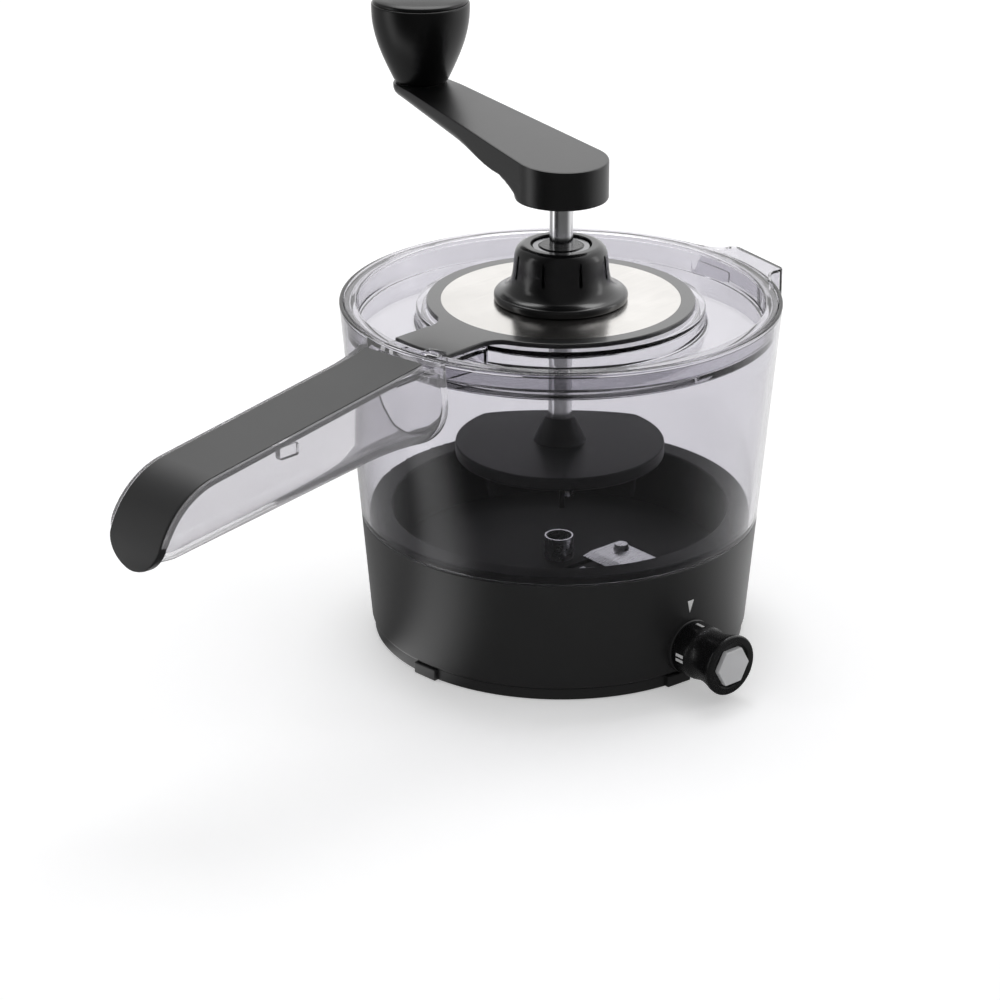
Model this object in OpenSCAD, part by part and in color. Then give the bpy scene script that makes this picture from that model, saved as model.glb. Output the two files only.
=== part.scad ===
// Hand-cranked spiralizer: a clear container with a handle on a black cutting base,
// a lift-off lid that guides the crank, and a knob that turns the cutter drum.
// Origin on the crank axis at the table, +Z up, handle along -X.

/* [Container] */
// Outer radius of the clear container at its rim
rim_r = 75; // [70:0.5:82]
// Height of the rim above the table
rim_z = 120; // [114:1:132]
// Thickness of the clear wall
wall = 2.4; // [1.8:0.1:3]
// Height where the clear wall meets the black base
seam_z = 43.5; // [42:0.5:50]
// Thickness of the bead inside the rim
bead_w = 3.6; // [3:0.1:4.6]
// Height of the bead inside the rim
bead_h = 11; // [9:0.5:14]
// Width of the lip that stands round the lid
lip_w = 1.4; // [1:0.1:1.8]
// Depth of the rebate that carries the lid
rebate_d = 1.8; // [1.4:0.1:2.4]
// Thickness of the container's inward floor
floor_t = 2.5; // [2:0.1:4]
// Turn of the rear lug from the line opposite the handle
lug_turn = -14.5; // [-20:0.5:0]
// Width of the rear lug
lug_w = 30; // [20:0.5:34]
// How far the rear lug stands out from the rim
lug_reach = 7.5; // [5:0.5:12]
// Height of the rear lug
lug_h = 12; // [8:0.5:18]

/* [Handle] */
// Width of the soft strip on the handle
strip_w = 24; // [18:0.5:30]
// Thickness of the soft strip
strip_t = 2.6; // [2:0.1:4]
// Length of the strip's straight run
strip_len = 88; // [70:1:110]
// Downward slope of the strip
strip_slope = 8.2; // [4:0.2:12]
// Gap between the rim and the strip
strip_gap = 3; // [2:0.5:6]
// Drop of the strip's root below the rim
strip_drop = 0.7; // [0.4:0.1:2]
// Radius of the curl at the strip's tip
curl_r = 28; // [24:0.5:34]
// Height that the strip stands proud of its clear border
strip_proud = 0.4; // [0.2:0.1:1]
// Width of the clear border beside the strip
border_w = 1.2; // [1:0.1:2]
// Depth of the clear trough at the container
trough_d = 30; // [26:0.5:34]
// Downward slope of the trough's bottom
trough_slope = 5.6; // [4:0.2:7]
// Wall thickness of the trough
trough_wall = 2.4; // [1.8:0.1:3]
// Depth of the ledge that carries the strip
ledge_under_strip = 2.4; // [1.6:0.2:3.2]
// Width of the ledge along each side of the strip
strip_ledge_w = 2.6; // [2:0.2:4]

/* [Base] */
// Inner radius of the base and of its outlet
throat_r = 58; // [54:0.5:60]
// Thickness of the base's wall at its foot
base_wall = 7.4; // [7:0.1:9]
// Thickness of the ring that stands up inside the container's floor
spigot_w = 2.9; // [2:0.1:4]
// Height of the foot ring
foot_h = 4; // [3:0.5:5]
// Width of the foot ring
foot_w = 6.5; // [5:0.5:7]
// Width of the four lugs on the foot ring
foot_lug_w = 10; // [6:0.5:16]
// How far the four lugs stand out of the foot ring
foot_lug_reach = 1.4; // [0.6:0.1:3]
// Width of the ledge that carries the cutting plate
ledge_w = 5; // [4.5:0.5:7]
// Thickness of that ledge
ledge_t = 3; // [2:0.5:3.5]
// Height of the white pointer triangle above the knob axis
pointer_z = 12.5; // [11:0.5:14]
// Height of the white pointer triangle
pointer_h = 5; // [4:0.5:8]
// Width of the white pointer triangle
pointer_w = 3.5; // [3:0.5:8]

/* [Cutting plate] */
// Thickness of the cutting plate
plate_t = 3; // [2.4:0.2:4]
// Radius of the hub under the plate
hub_under_r = 8; // [7.5:0.5:9]
// Depth of the hub under the plate
hub_under_d = 14; // [13:0.5:16]
// Outer radius of the coring tube
core_r = 5; // [4:0.5:6.5]
// Wall of the coring tube
core_wall = 0.6; // [0.4:0.1:1]
// Height of the coring tube above the plate
core_h = 8; // [5:0.5:10]
// Width of the main blade
blade_w = 17; // [14:0.5:20]
// Thickness of the main blade
blade_t = 0.9; // [0.6:0.1:1.4]
// Width of the pad that carries the blade
pad_w = 8; // [7:0.5:9]
// Width of the ground edge of the main blade
bevel_w = 4; // [2:0.5:6]
// Depth of the blade's screws below the blade
blade_screw_d = 4; // [3:0.5:5]
// Number of screws that hold the plate
plate_screws_n = 4; // [4:4:8]

/* [Cutter drum and knob] */
// Angle from the handle round to the selector knob
selector_angle = 85; // [80:1:100]
// Height of the drum axis above the table
drum_z = 13.5; // [13.3:0.1:16]
// Distance from the drum axis to its flat faces
drum_face = 10; // [9:0.5:10]
// Outer radius of the drum's corners
drum_r = 12.8; // [12:0.1:13]
// Distance from the crank axis to the drum's inner end
drum_in = 9.6; // [9.4:0.2:11]
// Length of the drum
drum_len = 37.4; // [30:0.2:40]
// Radius of the drum's outer shaft
drum_shaft_r = 4; // [3:0.5:4.5]
// Radius of the drum's inner stub
drum_stub_r = 2.5; // [2:0.1:2.8]
// Height of the comb teeth above the drum face
tooth_h = 2.6; // [2:0.1:2.6]
// Width of the comb teeth across the drum
tooth_w = 4; // [3:0.5:5]
// Thickness of the comb teeth
tooth_t = 0.6; // [0.4:0.1:0.8]
// Depth of the comb's root in the drum
comb_root = 2.4; // [1.6:0.2:3]
// Wall of the plain bushes round the drum's shaft
bush_wall = 1.9; // [1.2:0.1:2.2]
// Radius of the flat boss round the knob's shaft
boss_r = 9.5; // [8.5:0.5:9.8]
// How far the boss stands out of the wall at the shaft
boss_out = 1.2; // [1:0.1:2]
// Radius of the knob's outer face
knob_r = 10.6; // [9:0.2:12]
// Radius of the knob's root
knob_root_r = 9.4; // [8.8:0.2:10.4]
// Radius of the knob's waist
knob_waist_r = 8.6; // [7:0.2:8.8]
// Length of the knob
knob_len = 19; // [16:0.5:24]
// Width across the corners of the hexagonal cap
cap_w = 14; // [10:0.5:16]
// Thickness of the hexagonal cap
cap_t = 1.4; // [0.8:0.1:2]

/* [Lid] */
// Wall thickness of the lid
lid_t = 2; // [1.6:0.1:2.6]
// Depth of the lid's trough below the rim
lid_d = 10; // [8:0.5:11]
// Outer radius of the lid's raised centre
plateau_r = 49; // [47:0.5:54]
// Outer radius of the black inlay ring
inlay_r = 45.5; // [43:0.5:46.5]
// Thickness of the inlay and the disc
inlay_t = 1.6; // [1.2:0.1:2.2]
// Outer radius of the steel disc
disc_r = 40.6; // [32:0.2:42]
// Radius of the corners between the inlay's ring and its bridge
inlay_fillet = 8; // [4:0.5:12]
// Gap between the inlay's bridge and the lid's skirt
bridge_gap = 2; // [1:0.1:6]

/* [Collar] */
// Radius of the collar's flange
collar_flange_r = 22.7; // [20:0.1:26]
// Thickness of the collar's flange
collar_flange_t = 3; // [2.4:0.1:4]
// Radius of the collar's waist
collar_r = 16; // [14.5:0.5:18]
// Height of the collar above the disc
collar_h = 19.4; // [18:0.2:24]
// Outer radius of the collar's spigot through the lid
spigot_r = 12; // [11.5:0.5:13.5]
// Number of slits round the collar
slit_n = 8; // [4:1:12]
// Width of the slits
slit_w = 1.2; // [0.8:0.1:2]
// Outer radius of the guide sleeve
sleeve_r = 8; // [7.6:0.1:8.4]
// Wall of the steel bush round the sleeve
collar_bush_wall = 1.45; // [1:0.05:1.6]
// Outer radius of the nut under the lid
nut_r = 19; // [16:0.5:22]
// Width of the notches round the nut
notch_w = 3; // [2:0.5:4]
// Section radius of the friction ring on the shaft
ring_sec_r = 1.2; // [0.8:0.1:1.4]
// Height of the friction ring above the collar's low end
ring_lift = 12; // [8:0.5:16]

/* [Crank] */
// Radius of the crank shaft
shaft_r = 4; // [3.5:0.1:4.4]
// Gap between the collar and the crank hub
crank_lift = 16; // [15.5:0.5:24]
// Radius of the crank hub
hub_r = 15.8; // [13:0.2:18]
// Height of the crank hub
hub_h = 14; // [11:0.5:18]
// Distance from the shaft to the grip
arm_len = 93; // [75:1:110]
// Direction of the arm at rest
arm_angle = 76; // [0:1:360]
// How far the arm climbs from the hub to the grip
arm_rise = 4; // [1:0.5:6]
// Thickness of the arm at its root
arm_t = 8; // [7:0.5:10]
// Thickness of the arm at its end
arm_end_t = 5; // [4:0.5:7]
// Radius of the arm's end
arm_end_r = 10; // [8:0.5:12]
// Radius of the fillet under the arm
arm_fillet = 9; // [6:0.5:12]
// Radius of the cross pins
pin_r = 1.5; // [1:0.1:1.8]

/* [Grip] */
// Length of the grip below its cap
grip_h = 28.5; // [22:0.5:36]
// Radius of the grip at the arm
grip_base_r = 9.6; // [8:0.2:11]
// Radius of the grip at its widest
grip_top_r = 17.4; // [14:0.2:20]
// Height of the grip's domed cap
grip_cap_h = 3.2; // [2:0.1:5]
// Radius of the grip's spindle
spindle_r = 3; // [2.4:0.1:3.6]

/* [Food holder] */
// Radius of the holder's disc
holder_r = 36; // [30:0.5:42]
// Thickness of the holder's disc
holder_t = 4.6; // [3.5:0.1:6]
// Height of the disc's underside at rest
holder_z = 64; // [62:0.5:68]
// Radius of the holder's hub at the disc
holder_hub_r = 8.6; // [8:0.2:10]
// Height of the holder's hub
holder_hub_h = 9; // [8:0.5:12]
// Number of fins round the holder's edge
fin_n = 8; // [4:1:12]
// Height of the fins
fin_h = 7; // [4:0.5:8]
// Number of inner spikes
spike_n = 6; // [3:1:9]
// Length of the inner spikes
spike_h = 11; // [8:0.5:12]

/* [Hidden] */
$fn = 96;
// Clearances: running fits, seats inside one piece group, and loose moving gaps
run_gap = 0.05;
seat_gap = 0.05;
loose_gap = 0.4;
eps = 0.01;
// Strand widths of the four combs
strands = [12, 6, 3, 2];

// Outer wall, from the rim down to the foot
taper = (rim_r - throat_r - base_wall) / (rim_z - foot_h);
foot_r = throat_r + foot_w;

// Heights of the base and plate, from the drum that turns under the plate
face_sink = 1;
plate_top = drum_z + drum_face + face_sink;
plate_low = plate_top - plate_t;
sweep_r = drum_r + 0.1;
slot_half = drum_face + 1.2;
slot_in = drum_in - 0.8;
slot_out = drum_in + drum_len + 1.5;
blade_low = drum_z + sweep_r + 0.3;
floor_top = seam_z + floor_t;
floor_hole_r = throat_r + spigot_w + seat_gap;
wall_screw_r = throat_r - ledge_w / 2;

// Knob side, measured outwards along the selector axis
boss_face = shell_r(drum_z) + boss_out;
knob_root = boss_face + loose_gap;
knob_face = knob_root + knob_len;
bush_in = throat_r - 0.5;
bush_r = drum_shaft_r + run_gap + bush_wall;
stub_bush_r = drum_stub_r + run_gap + bush_wall * 0.75;
clip_t = 0.8;

// Lid heights
rebate_z = rim_z - rebate_d;
bead_r = rim_r - bead_w;
skirt_r = bead_r - loose_gap;
lid_flange_r = rim_r - lip_w - 0.3;
bridge_r = skirt_r - lid_t - bridge_gap;
lid_low = rim_z - lid_d;
deck_z = rim_z - 2;
deck_low = deck_z - lid_t - 0.2;
disc_top = deck_z + inlay_t;

// Collar, sleeve and crank heights
collar_top = disc_top + collar_h;
collar_low = deck_low - 5;
collar_bore_r = sleeve_r + run_gap + collar_bush_wall + seat_gap;
recess_d = 2;
sleeve_flange_t = 2.6;
sleeve_low = collar_low - loose_gap - sleeve_flange_t;
clip_low = collar_top - recess_d + loose_gap;
clip_high = clip_low + clip_t;
groove_z = collar_low + ring_lift;
crank_low = collar_top + crank_lift;
crank_top = crank_low + hub_h;
arm_low = crank_top - arm_t;
arm_end_top = crank_top + arm_rise;
arm_end_low = arm_end_top - arm_end_t;
arm_climb = arm_rise / (arm_len - arm_end_r);
spindle_low = arm_end_low + 1;
shaft_top = crank_top - 3;
holder_top = holder_z + holder_t;
holder_pin_z = holder_top + holder_hub_h * 0.5;
arm_pin_z = crank_low + hub_h * 0.3;

// Grip heights
grip_low = arm_end_top + loose_gap;
grip_top = grip_low + grip_h;
head_r = spindle_r + 2;
head_t = 2;
head_low = grip_top - 6;

// Handle line
strip_r0 = rim_r + strip_gap;
strip_z0 = rim_z - strip_drop;
curl_x = strip_r0 + strip_len * cos(strip_slope) - curl_r * sin(strip_slope);
curl_z = strip_z0 - strip_len * sin(strip_slope) - curl_r * cos(strip_slope);
curl_deg = 90 - strip_slope;
curl_steps = 18;
trough_half = strip_w / 2 + border_w;

function shell_r(z) = rim_r - (rim_z - z) * taper;
function strip_z(r) = strip_z0 - (r - strip_r0) * tan(strip_slope);
function trough_z(r) = strip_z(rim_r) - trough_d - (r - rim_r) * tan(trough_slope);
function band_line(depth, lead, steps) = concat(
    [[strip_r0 - lead * cos(strip_slope) - depth * sin(strip_slope),
      strip_z0 + lead * sin(strip_slope) - depth * cos(strip_slope)]],
    [for (i = [0 : steps]) curl_point(curl_deg * (1 - i / curl_steps), depth)]);
function curl_point(a, depth) = [curl_x + (curl_r - depth) * cos(a), curl_z + (curl_r - depth) * sin(a)];

// Turn to the handle, the selector knob and the crank arm
module at_handle() { rotate([0, 0, 180]) children(); }
module at_selector() { rotate([0, 0, 180 + selector_angle]) children(); }
module at_arm() { rotate([0, 0, arm_angle]) children(); }

// Cylinder along +X from x0 to x1 at height z
module rod_x(r, x0, x1, z) {
    translate([x0, 0, z]) rotate([0, 90, 0]) cylinder(r = r, h = x1 - x0);
}

// Ring between two radii and two heights
module ring(r_out, r_in, z0, z1) {
    difference() {
        translate([0, 0, z0]) cylinder(r = r_out, h = z1 - z0);
        translate([0, 0, z0 - 1]) cylinder(r = r_in, h = z1 - z0 + 2);
    }
}

// Solid of the outer wall, grown by a gap
module outer_cone(grow, z0, z1) {
    rotate_extrude() polygon([[0, z0], [shell_r(z0) + grow, z0], [shell_r(z1) + grow, z1], [0, z1]]);
}

// Pan-head screw standing on height z, with its shank below
module pan_screw(head, shank, length, z) {
    translate([0, 0, z]) cylinder(r1 = head, r2 = head * 0.8, h = head * 0.7);
    translate([0, 0, z - length]) cylinder(r = shank, h = length + eps);
}

// Two circles joined by their tangents
module tapered_bar(r0, r1, length) {
    lean = asin((r0 - r1) / length);
    circle(r = r0);
    translate([length, 0]) circle(r = r1);
    polygon([[r0 * sin(lean), r0 * cos(lean)], [length + r1 * sin(lean), r1 * cos(lean)],
             [length + r1 * sin(lean), -r1 * cos(lean)], [r0 * sin(lean), -r0 * cos(lean)]]);
}

// Clear container with its rim bead, rebate, floor and rear lug
module container() {
    inner_low = shell_r(floor_top) - wall;
    bead_low = rebate_z - bead_h;
    color("lavender", 0.4) union() {
        rotate_extrude() polygon([
            [shell_r(seam_z), seam_z], [rim_r, rim_z], [rim_r - lip_w, rim_z],
            [rim_r - lip_w, rebate_z], [bead_r, rebate_z], [bead_r, bead_low],
            [shell_r(bead_low - 3) - wall, bead_low - 3], [inner_low, floor_top],
            [floor_hole_r, floor_top], [floor_hole_r, seam_z]]);
        rear_lug();
    }
}

module rear_lug() {
    z0 = rim_z - lug_h;
    out = rim_r + lug_reach;
    rotate([0, 0, lug_turn]) difference() {
        translate([0, -lug_w / 2, z0]) cube([out, lug_w, lug_h]);
        translate([0, -lug_w / 2 + wall, z0 - 1]) cube([out - wall, lug_w - 2 * wall, lug_h - wall + 1]);
        outer_cone(-wall / 2, z0 - 2, rim_z + 1);
    }
}

// Strip band: straight run and curl, from one depth below the top to another
module strip_band(depth, thick, half_w, lead, steps) {
    low = band_line(depth + thick, lead, steps);
    side_plate(concat(band_line(depth, lead, steps), [for (i = [len(low) - 1 : -1 : 0]) low[i]]), half_w);
}

// Round-bottomed channel along the trough's bottom line
module trough_prism(half_w, lift) {
    reach = curl_x + curl_r;
    translate([0, 0, trough_z(0) + lift]) rotate([0, trough_slope, 0]) rotate([90, 0, 90])
        linear_extrude(height = reach * 1.2) union() {
            translate([0, half_w]) circle(r = half_w);
            translate([-half_w, half_w]) square([2 * half_w, 3 * trough_d]);
        }
}

module side_plate(points, half_w) {
    rotate([90, 0, 0]) linear_extrude(height = 2 * half_w, center = true) polygon(points);
}

// Clear boat-shaped trough that carries the strip
module handle_shell() {
    under = strip_t + ledge_under_strip / 2;
    root = rim_r * 0.85;
    nose_x = curl_x + curl_r * 0.6;
    body = concat([[root, trough_z(root)], [root, strip_z(root) - under]],
                  [for (a = [curl_deg : -8 : 14]) curl_point(a, under)],
                  [curl_point(10, under), [nose_x, trough_z(nose_x)]]);
    hollow_root = strip_r0 + 2;
    hollow_top = strip_t - eps;
    hollow = [[hollow_root, trough_z(hollow_root)], [hollow_root, strip_z(hollow_root) - hollow_top],
              [curl_x, strip_z(curl_x) - hollow_top], [curl_x + curl_r * 0.46, trough_z(curl_x) + trough_wall]];
    at_handle() color("lavender", 0.4) difference() {
        union() {
            difference() {
                intersection() {
                    side_plate(body, trough_half);
                    trough_prism(trough_half, 0);
                }
                outer_cone(seat_gap, seam_z, rim_z + trough_wall);
            }
            difference() {
                strip_band(strip_proud, strip_t + ledge_under_strip - strip_proud, trough_half,
                           strip_gap + 6, curl_steps - 2);
                outer_cone(seat_gap, seam_z, rim_z + trough_wall);
            }
        }
        strip_band(-5, 5 + strip_t, strip_w / 2 + seat_gap, strip_gap - 2, curl_steps + 2);
        intersection() {
            side_plate(hollow, strip_w / 2 - strip_ledge_w);
            trough_prism(strip_w / 2 - strip_ledge_w, trough_wall);
        }
    }
}

// Soft strip on top of the handle, with a round tip
module handle_strip() {
    tip_r = strip_w / 2 + 0.6;
    reach = curl_x + 2 * curl_r;
    at_handle() color("dimgray") difference() {
        intersection() {
            strip_band(0, strip_t, strip_w / 2, strip_gap - 2 - seat_gap, curl_steps);
            union() {
                rod_x(tip_r, 0, reach, curl_z + tip_r);
                translate([0, -tip_r - 1, curl_z + tip_r]) cube([reach, 2 * tip_r + 2, rim_z]);
            }
        }
        translate([0, 0, seam_z]) cylinder(r = strip_r0, h = rim_z);
    }
}

// Black base: thick wall, spigot for the container and a boss for the knob
module base() {
    color("#222326") difference() {
        union() {
            rotate_extrude() polygon([
                [throat_r, foot_h], [shell_r(foot_h), foot_h], [shell_r(seam_z), seam_z],
                [throat_r + spigot_w, seam_z], [throat_r + spigot_w, floor_top], [throat_r, floor_top]]);
            at_selector() rod_x(boss_r, throat_r + 3, boss_face, drum_z);
        }
        at_selector() {
            rod_x(bush_r + seat_gap, throat_r - 4, boss_face + 1, drum_z);
            pointer_prism();
        }
    }
}

// Ledge inside the base that carries the cutting plate
module plate_seat() {
    color("#222326") difference() {
        ring(throat_r - seat_gap, throat_r - ledge_w, plate_low - ledge_t, plate_low);
        at_selector() rod_x(bush_r + 2, throat_r - ledge_w - 2, throat_r + 1, drum_z);
        screw_ring() translate([0, 0, plate_low - ledge_t - 1]) cylinder(r = 1.2 + seat_gap, h = ledge_t + 2);
    }
}

module screw_ring() {
    for (i = [0 : plate_screws_n - 1])
        at_selector() rotate([0, 0, 360 / plate_screws_n * (i + 0.5)]) translate([wall_screw_r, 0, 0]) children();
}

// White triangle above the knob, set into the wall
module pointer_prism() {
    z = drum_z + pointer_z;
    translate([shell_r(z), 0, z]) rotate([0, atan(taper), 0]) rotate([90, 0, 90])
        translate([0, 0, -1]) linear_extrude(height = 1.25)
            polygon([[0, 0], [pointer_w / 2, pointer_h], [-pointer_w / 2, pointer_h]]);
}

module pointer_mark() {
    color("white") at_selector() pointer_prism();
}

// Foot ring that the tool stands on
module foot_ring() {
    color("#1c1d1f") union() {
        ring(foot_r, throat_r, 0, foot_h);
        for (i = [0 : 3])
            rotate([0, 0, 90 * i]) difference() {
                translate([throat_r + 2, -foot_lug_w / 2, 0]) cube([foot_r + foot_lug_reach - throat_r - 2, foot_lug_w, foot_h]);
                translate([0, 0, -1]) cylinder(r = throat_r + 1, h = foot_h + 2);
            }
    }
}

// Black plate that the food turns on, slotted over the drum
module cutting_plate() {
    color("#26272a") difference() {
        union() {
            translate([0, 0, plate_low]) cylinder(r = throat_r - 0.1, h = plate_t);
            translate([0, 0, plate_low - hub_under_d]) cylinder(r = hub_under_r, h = hub_under_d + eps);
            at_selector() translate([slot_in, slot_half + 0.8, plate_top - eps])
                cube([slot_out - slot_in, pad_w, blade_low - plate_top + eps]);
        }
        at_selector() {
            translate([slot_in, -slot_half, plate_low - 1]) cube([slot_out - slot_in, 2 * slot_half, plate_t + 2]);
            rod_x(stub_bush_r + seat_gap, 1, hub_under_r + 1, drum_z);
            blade_holes() translate([0, 0, plate_low - 1]) cylinder(r = 1.5, h = plate_t + blade_low);
        }
        translate([0, 0, plate_low]) cylinder(r = core_r + seat_gap, h = plate_t + 1);
        screw_ring() translate([0, 0, plate_low - 1]) cylinder(r = 1.2 + seat_gap, h = plate_t + 2);
    }
}

module blade_holes() {
    for (x = [slot_in + 6, slot_out - 6])
        translate([x, slot_half + 0.8 + pad_w / 2, 0]) children();
}

// Fixed steel blade, with its edge over the slot
module main_blade() {
    back = slot_half + 0.8 + pad_w;
    edge = back - blade_w;
    color("silver") at_selector() difference() {
        translate([slot_in + 0.5, 0, blade_low]) rotate([90, 0, 90]) linear_extrude(height = slot_out - slot_in - 1)
            polygon([[back, 0], [back, blade_t], [edge + bevel_w, blade_t], [edge, 0.1], [edge, 0]]);
        blade_holes() translate([0, 0, blade_low - 1]) cylinder(r = 1.6, h = blade_t + 2);
    }
}

module blade_screws() {
    color("gainsboro") at_selector() blade_holes() pan_screw(2.8, 1.45, blade_t + blade_screw_d, blade_low + blade_t);
}

module plate_screws() {
    color("gainsboro") screw_ring() pan_screw(2.2, 1.2, plate_t + ledge_t - 0.4, plate_top);
}

// Steel tube that cuts out the core
module core_tube() {
    color("silver") ring(core_r, core_r - core_wall, plate_low, plate_top + core_h);
}

// Plain bushes at the two ends of the drum
module hub_bush() {
    color("ivory") at_selector() difference() {
        rod_x(stub_bush_r, 1, hub_under_r + 0.2, drum_z);
        rod_x(drum_stub_r + run_gap, 0, hub_under_r + 1, drum_z);
    }
}

module drum_bush() {
    color("ivory") at_selector() difference() {
        rod_x(bush_r, bush_in, boss_face, drum_z);
        rod_x(drum_shaft_r + run_gap, bush_in - 1, boss_face + 1, drum_z);
    }
}

// Four-faced drum that carries the combs, with its shaft
module cutter_drum() {
    drum_out = drum_in + drum_len;
    color("#2c2d30") at_selector() difference() {
        union() {
            intersection() {
                rod_x(drum_r, drum_in, drum_out, drum_z);
                translate([drum_in, -drum_face, drum_z - drum_face]) cube([drum_len, 2 * drum_face, 2 * drum_face]);
            }
            rod_x(drum_stub_r, 2, drum_in + eps, drum_z);
            rod_x(drum_shaft_r, drum_out - eps, knob_face - 4, drum_z);
        }
        for (i = [0 : 3]) on_face(i) comb_root_bar();
    }
}

// Place on one of the drum's faces: X along the drum, Z out of the face
module on_face(i) {
    translate([0, 0, drum_z]) rotate([90 * i, 0, 0]) translate([0, 0, drum_face]) children();
}

module comb_root_bar() {
    translate([drum_in + 1.2, -tooth_w / 2, -comb_root]) cube([drum_len - 2.4, tooth_w, comb_root]);
}

// Steel comb with teeth at one pitch, for strands of that width
module comb(face, pitch) {
    start = drum_in + 1.2;
    run = drum_len - 2.4 - tooth_t;
    color("silver") at_selector() on_face(face) union() {
        comb_root_bar();
        for (x = [pitch / 2 : pitch : run])
            translate([start + x, 0, -eps]) rotate([90, 0, 90]) linear_extrude(height = tooth_t)
                polygon([[-tooth_w / 2, 0], [tooth_w / 2, 0], [tooth_w / 2, tooth_h * 0.7],
                         [-tooth_w / 2 + 0.6, tooth_h]]);
    }
}

module comb_12mm() { comb(0, strands[0]); }
module comb_6mm() { comb(1, strands[1]); }
module comb_3mm() { comb(2, strands[2]); }
module comb_2mm() { comb(3, strands[3]); }

// Retaining ring on the drum's shaft, inside the base
module drum_clip() {
    color("silver") at_selector() difference() {
        rod_x(bush_r + 0.6, bush_in - 0.3 - clip_t, bush_in - 0.3, drum_z);
        rod_x(drum_shaft_r, bush_in - 3, bush_in + 1, drum_z);
    }
}

// Flared knob that turns the drum
module selector_knob() {
    color("#1d1e20") at_selector() difference() {
        translate([0, 0, drum_z]) rotate([0, 90, 0]) rotate_extrude() polygon([
            [0, knob_root], [knob_root_r, knob_root], [knob_root_r - 0.2, knob_root + knob_len * 0.36],
            [knob_waist_r, knob_root + knob_len * 0.5], [knob_waist_r + 0.2, knob_root + knob_len * 0.6],
            [knob_r - 1, knob_face - 4], [knob_r, knob_face - 2.4], [knob_r, knob_face - 0.8], [knob_r - 0.8, knob_face], [0, knob_face]]);
        rod_x(drum_shaft_r, knob_root - 1, knob_face - 4, drum_z);
        mark_bars();
    }
}

// Bars on the knob's root: one to four, a quarter turn apart
module mark_bars() {
    bar_w = 1.1;
    for (k = [0 : 3], j = [0 : k])
        translate([0, 0, drum_z]) rotate([90 * k + (j - k / 2) * 11, 0, 0])
            translate([knob_root + 2, -bar_w / 2, knob_root_r - 1]) cube([3.4, bar_w, 1]);
}

module selector_marks() {
    color("white") at_selector() mark_bars();
}

// Pale hexagonal cap on the knob's face
module selector_cap() {
    color("silver") at_selector() translate([knob_face, 0, drum_z]) rotate([0, 90, 0])
        cylinder(d = cap_w, h = cap_t, $fn = 6);
}

// Clear lid: flange, skirt, trough and raised centre
module lid_shell() {
    color("lavender", 0.4) difference() {
        union() {
            rotate_extrude() polygon([
                [spigot_r + 0.2, deck_low], [plateau_r - lid_t, deck_low], [plateau_r - lid_t, lid_low],
                [skirt_r, lid_low], [skirt_r, rebate_z], [lid_flange_r, rebate_z], [lid_flange_r, rim_z],
                [skirt_r - lid_t, rim_z], [skirt_r - lid_t, lid_low + lid_t], [plateau_r, lid_low + lid_t],
                [plateau_r, deck_z], [spigot_r + 0.2, deck_z]]);
            lid_bridge();
        }
    }
}

// Clear block that carries the inlay's bridge across the trough
module lid_bridge() {
    half = strip_w / 2 + border_w;
    at_handle() intersection() {
        difference() {
            translate([plateau_r - 6, -half, lid_low + eps]) cube([skirt_r - plateau_r + 8, 2 * half, deck_z - lid_low - eps]);
            translate([plateau_r, -half + lid_t, lid_low - 1]) cube([skirt_r - plateau_r, 2 * half - 2 * lid_t, deck_low - lid_low + 1]);
        }
        ring(skirt_r - lid_t / 2, plateau_r - lid_t / 2, lid_low, deck_z);
    }
}

// Black ring and bridge on the lid's top, with concave corners between them
module lid_inlay() {
    half = strip_w / 2;
    fillet_y = half + inlay_fillet;
    fillet_x = sqrt(pow(inlay_r + inlay_fillet, 2) - fillet_y * fillet_y);
    tangent_y = inlay_r * fillet_y / (inlay_r + inlay_fillet);
    color("dimgray") difference() {
        translate([0, 0, deck_z]) linear_extrude(height = inlay_t) difference() {
            union() {
                circle(r = inlay_r);
                translate([-fillet_x, -tangent_y]) square([fillet_x, 2 * tangent_y]);
                intersection() {
                    translate([-rim_r, -half]) square([rim_r, strip_w]);
                    circle(r = bridge_r);
                }
            }
            for (s = [-1, 1]) translate([-fillet_x, s * fillet_y]) circle(r = inlay_fillet);
        }
        translate([0, 0, deck_z - 1]) cylinder(r = disc_r + seat_gap, h = inlay_t + 2);
    }
}

// Brushed steel disc
module lid_disc() {
    color("silver") ring(disc_r, spigot_r + 0.2, deck_z, disc_top);
}

// Black collar that guides the crank, with slits round its waist
module guide_collar() {
    f = disc_top;
    slit_low = f + collar_flange_t + 5;
    color("#1b1c1e") difference() {
        rotate_extrude() polygon([
            [collar_bore_r, collar_low], [spigot_r, collar_low], [spigot_r, f], [collar_flange_r - 1, f],
            [collar_flange_r, f + 0.8], [collar_flange_r, f + collar_flange_t - 1],
            [collar_flange_r - 1, f + collar_flange_t], [collar_r + 3, f + collar_flange_t + 1],
            [collar_r + 1, f + collar_flange_t + 2.8], [collar_r, f + collar_flange_t + 5.5],
            [collar_r, collar_top - 2], [collar_r - 1.6, collar_top], [collar_bore_r + 0.8, collar_top],
            [collar_bore_r + 0.8, collar_top - recess_d], [collar_bore_r, collar_top - recess_d]]);
        for (i = [0 : slit_n - 1]) rotate([0, 0, 360 / slit_n * (i + 0.5)]) {
            translate([collar_r - 1.4, -slit_w / 2, slit_low]) cube([4, slit_w, collar_h]);
            rod_x(slit_w / 2, collar_r - 1.4, collar_r + 2, slit_low);
        }
    }
}

// Steel bush pressed into the collar
module collar_bush() {
    color("silver") ring(sleeve_r + run_gap + collar_bush_wall, sleeve_r + run_gap, collar_low, collar_top - recess_d);
}

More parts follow.
